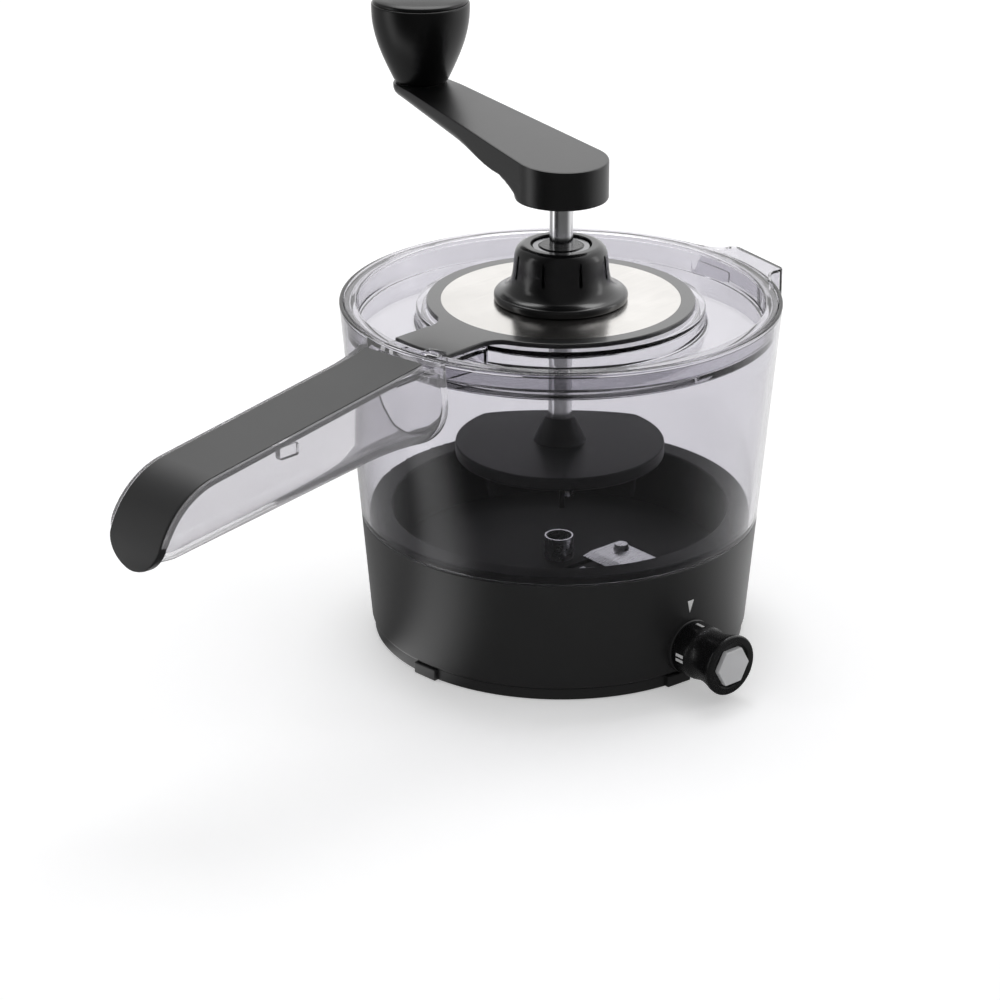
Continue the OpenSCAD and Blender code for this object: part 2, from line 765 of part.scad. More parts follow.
// Nut that holds the collar under the lid
module collar_nut() {
    color("#1b1c1e") difference() {
        ring(nut_r, spigot_r + seat_gap, collar_low + 0.6, deck_low);
        for (i = [0 : 5])
            rotate([0, 0, 60 * i]) translate([nut_r - notch_w * 0.4, -notch_w / 2, collar_low])
                cube([notch_w, notch_w, deck_low - collar_low + 1]);
    }
}

// Sleeve that turns in the collar while the shaft slides in it
module guide_sleeve() {
    bore = shaft_r + run_gap;
    groove_r = bore + 2 * ring_sec_r + 0.1;
    groove_h = 2 * ring_sec_r + 0.2;
    color("#2a2b2e") rotate_extrude() polygon([
        [bore, sleeve_low], [sleeve_r + 2.4, sleeve_low], [sleeve_r + 2.4, sleeve_low + sleeve_flange_t],
        [sleeve_r, sleeve_low + sleeve_flange_t], [sleeve_r, clip_low], [sleeve_r - 0.8, clip_low],
        [sleeve_r - 0.8, clip_high], [sleeve_r - 0.2, clip_high], [sleeve_r - 0.8, collar_top - 0.4],
        [bore, collar_top - 0.4], [bore, groove_z + groove_h], [groove_r, groove_z + groove_h],
        [groove_r, groove_z], [bore, groove_z]]);
}

// Bright ring in the collar's recess that keeps the sleeve up
module sleeve_clip() {
    color("white") ring(collar_bore_r, sleeve_r - 0.8, clip_low, clip_high);
}

// Soft ring in the sleeve that grips the shaft
module shaft_ring() {
    color("black") rotate_extrude() translate([shaft_r + run_gap + ring_sec_r, groove_z + ring_sec_r + 0.1])
        circle(r = ring_sec_r);
}

// Polished shaft through the sleeve
module crank_shaft() {
    color("gainsboro") difference() {
        translate([0, 0, holder_z + 1.5]) cylinder(r = shaft_r, h = shaft_top - holder_z - 1.5);
        at_arm() rod_x(pin_r, -shaft_r - 1, shaft_r + 1, arm_pin_z);
        rod_x(pin_r * 0.8, -shaft_r - 1, shaft_r + 1, holder_pin_z);
    }
}

// Crank arm with its hub
module crank_arm() {
    root = hub_r * 0.8;
    side = concat([[-hub_r * 2, crank_low], [root, crank_low]],
                  [for (a = [0 : 10 : 90]) [root + arm_fillet * (1 - cos(a)) * 1.4, crank_low + (arm_low - crank_low) * sin(a)]],
                  [[arm_len, arm_end_low], [arm_len * 1.5, arm_end_low], [arm_len * 1.5, arm_end_top],
                   [arm_len - arm_end_r, arm_end_top], [-hub_r * 2, crank_top - arm_climb * hub_r * 2]]);
    at_arm() color("#202124") difference() {
        union() {
            translate([0, 0, crank_low]) cylinder(r = hub_r, h = hub_h * 0.6);
            intersection() {
                translate([0, 0, crank_low]) linear_extrude(height = hub_h + arm_rise + 1)
                    tapered_bar(hub_r, arm_end_r, arm_len);
                side_plate(side, hub_r * 1.2);
            }
        }
        translate([0, 0, crank_low - 1]) cylinder(r = shaft_r, h = shaft_top - crank_low + 1);
        translate([arm_len, 0, spindle_low]) cylinder(r = spindle_r, h = arm_t);
        rod_x(pin_r, -hub_r - 1, hub_r * 0.9, arm_pin_z);
    }
}

// Cross pin through the hub and the shaft
module arm_pin() {
    color("silver") at_arm() rod_x(pin_r, -hub_r + 0.5, hub_r * 0.9, arm_pin_z);
}

// Spindle that the grip turns on
module grip_spindle() {
    color("silver") at_arm() translate([arm_len, 0, 0]) union() {
        translate([0, 0, spindle_low]) cylinder(r = spindle_r, h = head_low - spindle_low + eps);
        translate([0, 0, head_low]) cylinder(r = head_r, h = head_t);
    }
}

// Goblet-shaped grip, hollow at the top for the spindle's head
module grip_knob() {
    swell = grip_top_r - grip_base_r;
    flare_h = grip_h - 3;
    color("#0f1011") at_arm() translate([arm_len, 0, 0]) difference() {
        rotate_extrude() polygon(concat(
            [[0, grip_low], [grip_base_r - 0.5, grip_low]],
            [for (a = [2 : 8 : 90]) [grip_base_r + swell * sin(a), grip_low + 0.6 + flare_h * a / 90]],
            [[grip_top_r, grip_top - 0.6], [grip_top_r - 0.6, grip_top], [0, grip_top]]));
        translate([0, 0, grip_low - 1]) cylinder(r = spindle_r + run_gap, h = grip_h);
        translate([0, 0, head_low - loose_gap]) cylinder(r = head_r + loose_gap, h = grip_h);
    }
}

// Domed cap on the grip
module grip_cap() {
    cap_r = grip_top_r - 0.8;
    color("#3a3b3e") at_arm() translate([arm_len, 0, grip_top]) rotate_extrude() polygon(concat(
        [[0, 0]], [for (a = [0 : 10 : 90]) [cap_r * pow(cos(a), 0.6), grip_cap_h * sin(a)]]));
}

// Disc that presses and turns the food, with fins and spikes below it
module food_holder() {
    color("#232427") difference() {
        union() {
            translate([0, 0, holder_z]) cylinder(r = holder_r, h = holder_t);
            translate([0, 0, holder_top - eps]) cylinder(r1 = holder_hub_r, r2 = shaft_r + 0.9, h = holder_hub_h);
            for (i = [0 : fin_n - 1]) rotate([0, 0, 360 / fin_n * i]) holder_fin();
            for (i = [0 : spike_n - 1]) rotate([0, 0, 360 / spike_n * i])
                translate([holder_r * 0.36, 0, holder_z - spike_h]) cylinder(r1 = 0.3, r2 = 2, h = spike_h + eps);
        }
        translate([0, 0, holder_z + 1.5]) cylinder(r = shaft_r, h = holder_t + holder_hub_h);
        rod_x(pin_r * 0.8, -holder_hub_r, holder_hub_r, holder_pin_z);
    }
}

module holder_fin() {
    out = holder_r - 0.8;
    translate([0, 0, holder_z]) rotate([90, 0, 0]) linear_extrude(height = 1.8, center = true)
        polygon([[out - 10, eps], [out, eps], [out - 1.4, -fin_h]]);
}

// Cross pin through the holder's hub and the shaft
module holder_pin() {
    hub_mid_r = (holder_hub_r + shaft_r + 0.9) / 2;
    color("silver") rod_x(pin_r * 0.8, -hub_mid_r + 0.6, hub_mid_r - 0.6, holder_pin_z);
}

container();
handle_shell();
handle_strip();
base();
plate_seat();
foot_ring();
pointer_mark();
cutting_plate();
main_blade();
blade_screws();
plate_screws();
core_tube();
hub_bush();
drum_bush();
selector_knob();
selector_cap();
selector_marks();
cutter_drum();
drum_clip();
comb_12mm();
comb_6mm();
comb_3mm();
comb_2mm();
lid_shell();
lid_inlay();
lid_disc();
guide_collar();
collar_bush();
collar_nut();
guide_sleeve();
sleeve_clip();
shaft_ring();
crank_shaft();
crank_arm();
arm_pin();
grip_spindle();
grip_knob();
grip_cap();
food_holder();
holder_pin();
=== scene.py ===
import bpy
import bmesh
from math import asin, atan, cos, pi, radians, sin, sqrt, tan
from mathutils import Matrix, Vector


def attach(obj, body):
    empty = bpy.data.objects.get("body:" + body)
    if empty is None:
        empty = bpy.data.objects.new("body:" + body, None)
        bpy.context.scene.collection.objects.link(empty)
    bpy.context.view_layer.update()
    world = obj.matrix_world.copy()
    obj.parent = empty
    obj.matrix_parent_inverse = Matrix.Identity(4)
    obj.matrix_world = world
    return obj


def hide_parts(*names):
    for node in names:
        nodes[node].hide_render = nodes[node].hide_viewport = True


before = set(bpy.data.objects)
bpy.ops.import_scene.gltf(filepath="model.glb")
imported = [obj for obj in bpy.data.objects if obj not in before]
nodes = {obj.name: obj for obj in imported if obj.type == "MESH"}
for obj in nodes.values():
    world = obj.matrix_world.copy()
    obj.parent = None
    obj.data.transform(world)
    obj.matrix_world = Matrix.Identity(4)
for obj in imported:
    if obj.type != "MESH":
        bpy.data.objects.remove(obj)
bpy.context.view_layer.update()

scene = bpy.context.scene
mm = 0.001
print("frame loaded,", len(nodes), "nodes")


# Shader sockets as numbers
class Shade:
    def __init__(self, tree, socket=None):
        self.tree = tree
        self.socket = socket

    def add(self, kind, settings=None, sockets=None, out=0):
        made = self.tree.nodes.new(kind)
        for key, value in (settings or {}).items():
            setattr(made, key, value)
        for key, value in (sockets or {}).items():
            if isinstance(value, Shade):
                self.tree.links.new(value.socket, made.inputs[key])
            else:
                made.inputs[key].default_value = value
        return Shade(self.tree, made.outputs[out] if made.outputs else None)

    def maths(self, operation, first, second):
        return self.add("ShaderNodeMath", {"operation": operation}, {0: first, 1: second})

    def __add__(self, other):
        return self.maths("ADD", self, other)

    def __radd__(self, other):
        return self.maths("ADD", other, self)

    def __sub__(self, other):
        return self.maths("SUBTRACT", self, other)

    def __rsub__(self, other):
        return self.maths("SUBTRACT", other, self)

    def __mul__(self, other):
        return self.maths("MULTIPLY", self, other)

    def __rmul__(self, other):
        return self.maths("MULTIPLY", other, self)


def grey(value):
    return (value, value, value, 1.0)


def startMaterial(name):
    material = bpy.data.materials.new(name)
    material.use_nodes = True
    material.node_tree.nodes.clear()
    return material, Shade(material.node_tree)


def endMaterial(tree, surface):
    tree.add("ShaderNodeOutputMaterial", None, {"Surface": surface})


def objectSpot(tree):
    return tree.add("ShaderNodeTexCoord", None, None, "Object")


def lightPath(tree, out):
    return tree.add("ShaderNodeLightPath", None, None, out)


def noise(tree, spot, scale, detail=2.0, rough=0.5):
    return tree.add("ShaderNodeTexNoise", None, {
        "Vector": spot, "Scale": scale, "Detail": detail, "Roughness": rough})


def bumpFrom(tree, height, strength, depth):
    return tree.add("ShaderNodeBump", None, {"Strength": strength, "Distance": depth, "Height": height})


def blendColours(tree, factor, first, second):
    return tree.add("ShaderNodeMix", {"data_type": "RGBA"}, {0: factor, 6: first, 7: second}, 2)


# Moulded plastics: a fine grain in the bump, a slow drift in colour and roughness
moulding = {"driftScale": 38.0, "grainDepth": 0.00012, "coatRough": 0.12}


def mouldedPlastic(name, look):
    material, tree = startMaterial(name)
    spot = objectSpot(tree)
    grain = noise(tree, spot, look["grain"], 3.0)
    drift = noise(tree, spot, moulding["driftScale"])
    rough = look["rough"] + (drift - 0.5) * look["drift"] + (grain - 0.5) * look["speckle"]
    shader = tree.add("ShaderNodeBsdfPrincipled", None, {
        "Base Color": blendColours(tree, drift, look["dark"], look["light"]), "Roughness": rough,
        "Normal": bumpFrom(tree, grain, look["bump"], moulding["grainDepth"]),
        "IOR": look["ior"], "Coat Weight": look["coat"], "Coat Roughness": moulding["coatRough"]})
    endMaterial(tree, shader)
    return material


blackSatin = mouldedPlastic("blackSatin", {
    "dark": (0.018, 0.018, 0.0185, 1), "light": (0.024, 0.024, 0.0246, 1), "rough": 0.36, "drift": 0.08,
    "speckle": 0.1, "grain": 2600.0, "bump": 0.18, "ior": 1.5, "coat": 0.0})
deepBlack = mouldedPlastic("deepBlack", {
    "dark": (0.004, 0.004, 0.0043, 1), "light": (0.006, 0.006, 0.0064, 1), "rough": 0.27, "drift": 0.06,
    "speckle": 0.06, "grain": 2800.0, "bump": 0.12, "ior": 1.5, "coat": 0.0})
softCharcoal = mouldedPlastic("softCharcoal", {
    "dark": (0.014, 0.014, 0.0145, 1), "light": (0.02, 0.02, 0.0208, 1), "rough": 0.42, "drift": 0.08,
    "speckle": 0.16, "grain": 3400.0, "bump": 0.3, "ior": 1.45, "coat": 0.0})
collarBlack = mouldedPlastic("collarBlack", {
    "dark": (0.003, 0.003, 0.0033, 1), "light": (0.005, 0.005, 0.0054, 1), "rough": 0.2, "drift": 0.05,
    "speckle": 0.03, "grain": 2400.0, "bump": 0.06, "ior": 1.5, "coat": 0.1})
armBlack = mouldedPlastic("armBlack", {
    "dark": (0.004, 0.004, 0.0043, 1), "light": (0.006, 0.006, 0.0064, 1), "rough": 0.3, "drift": 0.06,
    "speckle": 0.08, "grain": 3000.0, "bump": 0.14, "ior": 1.5, "coat": 0.0})
matteBlack = mouldedPlastic("matteBlack", {
    "dark": (0.004, 0.004, 0.0044, 1), "light": (0.006, 0.006, 0.0064, 1), "rough": 0.4, "drift": 0.08,
    "speckle": 0.12, "grain": 2800.0, "bump": 0.2, "ior": 1.24, "coat": 0.0})
# darker black with weaker reflection for the inside of the base and the parts within it: painted shade
paintedShadeBlack = mouldedPlastic("paintedShadeBlack", {
    "dark": (0.004, 0.004, 0.0044, 1), "light": (0.007, 0.007, 0.0074, 1), "rough": 0.5, "drift": 0.08,
    "speckle": 0.12, "grain": 2400.0, "bump": 0.2, "ior": 1.24, "coat": 0.0})
inlayCharcoal = mouldedPlastic("inlayCharcoal", {
    "dark": (0.008, 0.008, 0.0084, 1), "light": (0.012, 0.012, 0.0124, 1), "rough": 0.3, "drift": 0.06,
    "speckle": 0.1, "grain": 3200.0, "bump": 0.16, "ior": 1.5, "coat": 0.5})
glossBlack = mouldedPlastic("glossBlack", {
    "dark": (0.002, 0.002, 0.0022, 1), "light": (0.0034, 0.0034, 0.0036, 1), "rough": 0.3, "drift": 0.05,
    "speckle": 0.03, "grain": 1500.0, "bump": 0.05, "ior": 1.4, "coat": 0.0})
paleGrey = mouldedPlastic("paleGrey", {
    "dark": (0.6, 0.6, 0.61, 1), "light": (0.68, 0.68, 0.69, 1), "rough": 0.4, "drift": 0.08,
    "speckle": 0.06, "grain": 2200.0, "bump": 0.1, "ior": 1.5, "coat": 0.0})
whiteInk = mouldedPlastic("whiteInk", {
    "dark": (0.78, 0.78, 0.78, 1), "light": (0.86, 0.86, 0.86, 1), "rough": 0.5, "drift": 0.06,
    "speckle": 0.05, "grain": 2600.0, "bump": 0.08, "ior": 1.5, "coat": 0.0})
bushPlastic = mouldedPlastic("bushPlastic", {
    "dark": (0.68, 0.65, 0.57, 1), "light": (0.76, 0.73, 0.66, 1), "rough": 0.45, "drift": 0.08,
    "speckle": 0.06, "grain": 2000.0, "bump": 0.1, "ior": 1.5, "coat": 0.0})


# Clear plastic: light passes on to what lies inside
def clearPlasticLook(name, look):
    material, tree = startMaterial(name)
    spot = objectSpot(tree)
    flow = noise(tree, spot, look["flow"])
    fine = noise(tree, spot, look["fine"])
    shader = tree.add("ShaderNodeBsdfPrincipled", None, {
        "Base Color": blendColours(tree, flow, look["tint"], look["tintPale"]),
        "Roughness": look["rough"] + fine * look["haze"],
        "Normal": bumpFrom(tree, flow, look["bump"], look["depth"]),
        "IOR": look["ior"], "Transmission Weight": look["clear"]})
    through = tree.add("ShaderNodeBsdfTransparent", None, {"Color": look["shadow"]})
    isShadow = lightPath(tree, "Is Shadow Ray")
    endMaterial(tree, tree.add("ShaderNodeMixShader", None, {0: isShadow, 1: shader, 2: through}))
    return material


wallLook = {
    "tint": (0.71, 0.702, 0.732, 1), "tintPale": (0.79, 0.782, 0.81, 1), "shadow": (0.985, 0.985, 0.99, 1),
    "rough": 0.015, "haze": 0.03, "flow": 26.0, "fine": 900.0, "bump": 0.012, "depth": 0.0006, "ior": 1.32,
    "clear": 1.0}
handleLook = {
    **wallLook, "tint": (0.8, 0.792, 0.812, 1), "tintPale": (0.88, 0.872, 0.892, 1), "rough": 0.02,
    "haze": 0.04, "flow": 30.0, "bump": 0.014, "clear": 0.88}
clearPlastic = clearPlasticLook("clearPlastic", wallLook)
clearHandle = clearPlasticLook("clearHandle", handleLook)


# Steel: fine lines in the bump and roughness
grinding = {"driftScale": 60.0, "lineDepth": 0.00008}


def steelLook(name, look):
    material, tree = startMaterial(name)
    spot = objectSpot(tree)
    stretched = tree.add("ShaderNodeMapping", None, {"Vector": spot, "Scale": look["stretch"]})
    lines = noise(tree, stretched, look["lines"], 3.0, 0.6)
    drift = noise(tree, spot, grinding["driftScale"])
    shader = tree.add("ShaderNodeBsdfPrincipled", None, {
        "Base Color": blendColours(tree, drift * 0.5 + lines * 0.5, look["dark"], look["light"]),
        "Roughness": look["rough"] + (lines - 0.5) * look["spread"], "Metallic": 1.0,
        "Normal": bumpFrom(tree, lines, look["bump"], grinding["lineDepth"])})
    endMaterial(tree, shader)
    return material


brushedDisc = steelLook("brushedDisc", {
    "dark": (0.5, 0.485, 0.465, 1), "light": (0.76, 0.74, 0.715, 1), "rough": 0.2, "spread": 0.12,
    "stretch": (0.04, 1.0, 1.0), "lines": 1800.0, "bump": 0.16})
polishedSteel = steelLook("polishedSteel", {
    "dark": (0.7, 0.7, 0.71, 1), "light": (0.82, 0.82, 0.83, 1), "rough": 0.14, "spread": 0.05,
    "stretch": (1.0, 1.0, 0.05), "lines": 1500.0, "bump": 0.04})
clipSteel = steelLook("clipSteel", {
    "dark": (0.2, 0.2, 0.21, 1), "light": (0.28, 0.28, 0.29, 1), "rough": 0.22, "spread": 0.06,
    "stretch": (1.0, 1.0, 0.2), "lines": 1500.0, "bump": 0.05})
bladeSteel = steelLook("bladeSteel", {
    "dark": (0.5, 0.5, 0.52, 1), "light": (0.68, 0.68, 0.7, 1), "rough": 0.28, "spread": 0.1,
    "stretch": (0.06, 1.0, 1.0), "lines": 1400.0, "bump": 0.1})
print("materials made")


# Bench tools: shapes are drawn in millimetres and stored in metres
def toObject(name, bm):
    bmesh.ops.remove_doubles(bm, verts=bm.verts, dist=1e-6)
    bmesh.ops.recalc_face_normals(bm, faces=bm.faces)
    mesh = bpy.data.meshes.new(name)
    bm.to_mesh(mesh)
    bm.free()
    made = bpy.data.objects.new(name, mesh)
    scene.collection.objects.link(made)
    return made


def bevelEdges(bm, edges, size, segments):
    bmesh.ops.bevel(bm, geom=edges, offset=size * mm, offset_type="OFFSET", segments=segments, profile=0.5,
                    affect="EDGES", material=-1)


def pullFace(bm, face, way):
    # thickens one flat face and gives the corners that moved
    pulled = bmesh.ops.extrude_face_region(bm, geom=[face])["geom"]
    moved = [g for g in pulled if isinstance(g, bmesh.types.BMVert)]
    bmesh.ops.translate(bm, verts=moved, vec=[w * mm for w in way])
    return moved


def pullUp(bm, outline, low, high):
    # flat outline in plan, pulled up to a prism
    face = bm.faces.new([bm.verts.new((x * mm, y * mm, low * mm)) for x, y in outline])
    pullFace(bm, face, (0, 0, high - low))


def sidePlate(bm, points, half):
    # outline in the handle's side view: distance from the axis and height
    face = bm.faces.new([bm.verts.new((-u * mm, -half * mm, z * mm)) for u, z in points])
    pullFace(bm, face, (0, 2 * half, 0))


def profileWire(bm, points, closed):
    # points are radius, height and, where a corner is rounded, its size
    verts = [bm.verts.new((p[0] * mm, 0, p[1] * mm)) for p in points]
    for a, b in zip(verts, verts[1:]):
        bm.edges.new((a, b))
    if closed:
        bm.edges.new((verts[-1], verts[0]))
    sizes = sorted({p[2] for p in points if len(p) > 2})
    groups = [[v for v, p in zip(verts, points) if len(p) > 2 and p[2] == size] for size in sizes]
    for size, group in zip(sizes, groups):
        bmesh.ops.bevel(bm, geom=group, offset=size * mm, offset_type="OFFSET", segments=4, profile=0.5,
                        affect="VERTICES", material=-1)


def lathe(bm, points, closed=True, steps=128):
    profileWire(bm, points, closed)
    geom = bm.verts[:] + bm.edges[:]
    bmesh.ops.spin(bm, geom=geom, cent=(0, 0, 0), axis=(0, 0, 1), angle=2 * pi, steps=steps, use_merge=True)
    bmesh.ops.remove_doubles(bm, verts=bm.verts, dist=1e-6)


def turned(name, points, closed=True, steps=128, place=None):
    bm = bmesh.new()
    lathe(bm, points, closed, steps)
    if place is not None:
        bmesh.ops.transform(bm, matrix=place, verts=bm.verts)
    return toObject(name, bm)


def loft(bm, rings):
    # one closed loop pulled from station to station
    row = [bm.verts.new(p) for p in rings[0]]
    bm.faces.new(row)
    for ring in rings[1:]:
        edges = [bm.edges.get((a, b)) for a, b in zip(row, row[1:] + row[:1])]
        pulled = bmesh.ops.extrude_edge_only(bm, edges=edges)["geom"]
        fresh = {g for g in pulled if isinstance(g, bmesh.types.BMVert)}
        row = [next(e.other_vert(v) for e in v.link_edges if e.other_vert(v) in fresh) for v in row]
        for v, p in zip(row, ring):
            v.co = p
    bm.faces.new(row)


def lofted(name, rings):
    bm = bmesh.new()
    loft(bm, rings)
    return toObject(name, bm)


def block(bm, size, centre, edge=0.0):
    made = bmesh.ops.create_cube(bm, size=1.0)["verts"]
    bmesh.ops.scale(bm, verts=made, vec=[s * mm for s in size])
    bmesh.ops.translate(bm, verts=made, vec=[c * mm for c in centre])
    if edge:
        bevelEdges(bm, list({e for v in made for e in v.link_edges}), edge, 3)


def blockPiece(name, size, centre, edge=0.0, turn=0.0):
    bm = bmesh.new()
    block(bm, size, centre, edge)
    bmesh.ops.rotate(bm, verts=bm.verts, cent=(0, 0, 0), matrix=Matrix.Rotation(radians(turn), 3, "Z"))
    return toObject(name, bm)


def addTurned(bm, part, angle):
    # adds a small part, turned about the upright axis
    bmesh.ops.transform(part, matrix=Matrix.Rotation(angle, 4, "Z"), verts=part.verts)
    mesh = bpy.data.meshes.new("part")
    part.to_mesh(mesh)
    part.free()
    bm.from_mesh(mesh)
    bpy.data.meshes.remove(mesh)


def combine(target, tool, operation):
    step = target.modifiers.new("combine", "BOOLEAN")
    step.operation = operation
    step.solver = "EXACT"
    step.object = tool
    bpy.context.view_layer.update()
    graph = bpy.context.evaluated_depsgraph_get()
    mesh = bpy.data.meshes.new_from_object(target.evaluated_get(graph))
    target.modifiers.clear()
    target.data = mesh
    bpy.data.objects.remove(tool)
    return target


def dress(piece, material, body, replaced, sharp=32):
    piece.data.materials.clear()
    piece.data.materials.append(material)
    piece.data.shade_smooth()
    piece.data.set_sharp_from_angle(angle=radians(sharp))
    flat = piece.modifiers.new("flat", "WEIGHTED_NORMAL")
    flat.keep_sharp = True
    flat.weight = 80
    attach(piece, body)
    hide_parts(*replaced)
    return piece


# Clear container, rear lug and handle trough: one moulding
container = {"rimR": 75.0, "rimZ": 120.0, "taper": (75.0 - 65.4) / 116, "seamZ": 43.54, "wall": 2.4,
             "lipR": 73.6, "lipDrop": 1.8, "seatR": 71.4, "seatLow": 107.2, "seatFade": 104.2, "overlap": 1.2}
strip = {"root": 78.0, "rootZ": 119.3, "slope": radians(8.2), "length": 88.0, "curl": 28.0, "half": 12.0,
         "thick": 2.5, "seat": 2.6, "proud": 0.4, "tipR": 12.6, "edge": 0.8, "lead": 0.95}
trough = {"half": 13.2, "inner": 10.6, "depth": 30.0, "slope": radians(5.6), "wall": 2.4, "flare": 5.0,
          "drop": 2.0, "flareFrom": 73.0, "flareEnd": 95.0, "tipFrom": 177.0, "tipRun": 11.5, "tipRise": 3.4,
          "open": 1.2, "roof": 1.0, "roofTop": 116.0}
hook = {"u": 134.0, "size": (8.0, 3.2, 4.4), "side": 9.5, "drop": 5.6, "edge": 0.9}
lug = {"angle": radians(-14.5), "reach": 82.5, "half": 15.0, "low": 108.0, "wall": 1.3, "corner": 2.6,
       "inner": 66.0, "flare": 6.0, "flareEnd": 78.5, "flareRun": 6.5, "spread": 9.0, "edge": 0.5}
curlU = strip["root"] + strip["length"] * cos(strip["slope"]) - strip["curl"] * sin(strip["slope"])
curlZ = strip["rootZ"] - strip["length"] * sin(strip["slope"]) - strip["curl"] * cos(strip["slope"])
curlTop = pi / 2 - strip["slope"]
flareStations = (76, 78, 80, 82.5, 85, 88, 91, 94, 97, 100, 120, 140)


def shellR(z):
    return container["rimR"] - (container["rimZ"] - z) * container["taper"]


def stripZ(u):
    return strip["rootZ"] - (u - strip["root"]) * tan(strip["slope"])


def troughZ(u):
    rimR = container["rimR"]
    return stripZ(rimR) - trough["depth"] - (u - rimR) * tan(trough["slope"])


def flareAt(u):
    run = trough["flareEnd"] - trough["flareFrom"]
    return min(1.0, max(0.0, (trough["flareEnd"] - u) / run)) ** 2


def tipLift(u):
    # the trough's bottom rises towards the tip of the strip
    return trough["tipRise"] * max(0.0, (u - trough["tipFrom"]) / trough["tipRun"]) ** 1.5


def curlPoint(angle, depth):
    return (curlU + (strip["curl"] - depth) * cos(angle), curlZ + (strip["curl"] - depth) * sin(angle))


def bandLine(depth, lead, last, count=24):
    first = (strip["root"] - lead * cos(strip["slope"]) - depth * sin(strip["slope"]),
             strip["rootZ"] + lead * sin(strip["slope"]) - depth * cos(strip["slope"]))
    return [first] + [curlPoint(curlTop + (last - curlTop) * i / count, depth) for i in range(count + 1)]


def troughRing(u, half, top, low, steps=24):
    # straight sides on a round bottom, cut off level at the top
    mouth = half
    if top < low + half:
        mouth = sqrt(max(half ** 2 - (low + half - top) ** 2, 0.04))
    ring = [(-mouth, top)]
    for i in range(steps + 1):
        a = pi * i / steps
        ring.append((max(-mouth, min(mouth, -half * cos(a))), min(top, low + half - half * sin(a))))
    ring.append((mouth, top))
    return [(-u * mm, v * mm, z * mm) for v, z in ring]


def outerRings(steps=24):
    rings = []
    for u in (66, 70, 73, 74.5) + flareStations + (curlU,):
        s = flareAt(u)
        top = min(stripZ(u) - strip["proud"], container["rimZ"])
        low = troughZ(u) - trough["drop"] * s
        rings.append(troughRing(u, trough["half"] + trough["flare"] * s, top, low))
    for i in range(1, steps + 1):
        u, top = curlPoint(curlTop + (radians(9) - curlTop) * i / steps, strip["proud"])
        rings.append(troughRing(u, trough["half"], top, min(troughZ(u) + tipLift(u), top - 0.4)))
    return rings


def cavityRings():
    # open to the strip, with a roof only at the flared root
    rings = []
    for u in (68, 73) + flareStations + (curlU - 5,):
        s = flareAt(u)
        roof = stripZ(u) - strip["seat"] + (trough["open"] if s < 0.1 else -trough["roof"])
        low = troughZ(u) + trough["wall"] - trough["drop"] * s
        rings.append(troughRing(u, trough["inner"] + trough["flare"] * s, min(roof, trough["roofTop"]), low))
    inside = strip["curl"] - strip["seat"] + trough["open"]
    for run in (1, 4, 7, 10, 13, 16, 18.5, 20.5, 22, 23.3, 24.4, 25.2):
        u = curlU + run
        low = troughZ(u) + trough["wall"] + tipLift(u)
        rings.append(troughRing(u, trough["inner"], curlZ + sqrt(inside ** 2 - run ** 2), low))
    return rings


def insideCone(low=30, high=130):
    # cuts what stands inside the container, apart from a little overlap with its wall
    lowR = shellR(low) - container["overlap"]
    highR = shellR(high) - container["overlap"]
    return turned("inside", [(0, low), (lowR, low), (highR, high), (0, high)], False, 160)


def buildHandle():
    handle = lofted("handle", outerRings())
    bm = bmesh.new()
    pocket = bandLine(-6, 1, -0.2) + bandLine(strip["seat"], 1, -0.2)[::-1]
    sidePlate(bm, pocket, strip["half"] + 0.05)
    combine(handle, toObject("pocket", bm), "DIFFERENCE")
    combine(handle, lofted("cavity", cavityRings()), "DIFFERENCE")
    bm = bmesh.new()
    for side in (-1, 1):  # snap hooks under the strip
        centre = (-hook["u"], side * hook["side"], stripZ(hook["u"]) - hook["drop"])
        block(bm, hook["size"], centre, hook["edge"])
    combine(handle, toObject("hooks", bm), "UNION")
    return combine(handle, insideCone(), "DIFFERENCE")


def lugOutline(inset, steps=8):
    half = lug["half"] - inset
    side = []
    for i in range(steps + 1):
        x = lug["inner"] + (lug["flareEnd"] - lug["inner"]) * i / steps
        y = half + lug["flare"] * ((lug["flareEnd"] - x) / lug["flareRun"]) ** 2
        if y < half + lug["spread"]:
            side.append((x, y))
    side.append((lug["reach"] - inset, half))
    return [(x, -y) for x, y in side] + [(x, y) for x, y in side[::-1]]


def roundCorners(bm, radius):
    tall = [e for e in bm.edges if abs(e.verts[0].co.z - e.verts[1].co.z) > 5 * mm]
    bevelEdges(bm, [e for e in tall if e.verts[0].co.x > 80 * mm], radius, 5)


def buildLug():
    bm = bmesh.new()
    pullUp(bm, lugOutline(0.0), lug["low"], container["rimZ"])
    roundCorners(bm, lug["corner"])
    top = [e for e in bm.edges if min(v.co.z for v in e.verts) > 119 * mm]
    bevelEdges(bm, [e for e in top if min(v.co.x for v in e.verts) > 79 * mm], lug["edge"], 2)
    made = toObject("lug", bm)
    bm = bmesh.new()
    pullUp(bm, lugOutline(lug["wall"]), lug["low"] - 5, container["rimZ"] - lug["wall"])
    roundCorners(bm, lug["corner"] - lug["wall"])
    combine(made, toObject("lug_hollow", bm), "DIFFERENCE")
    made.data.transform(Matrix.Rotation(lug["angle"], 4, "Z"))
    return combine(made, insideCone(), "DIFFERENCE")


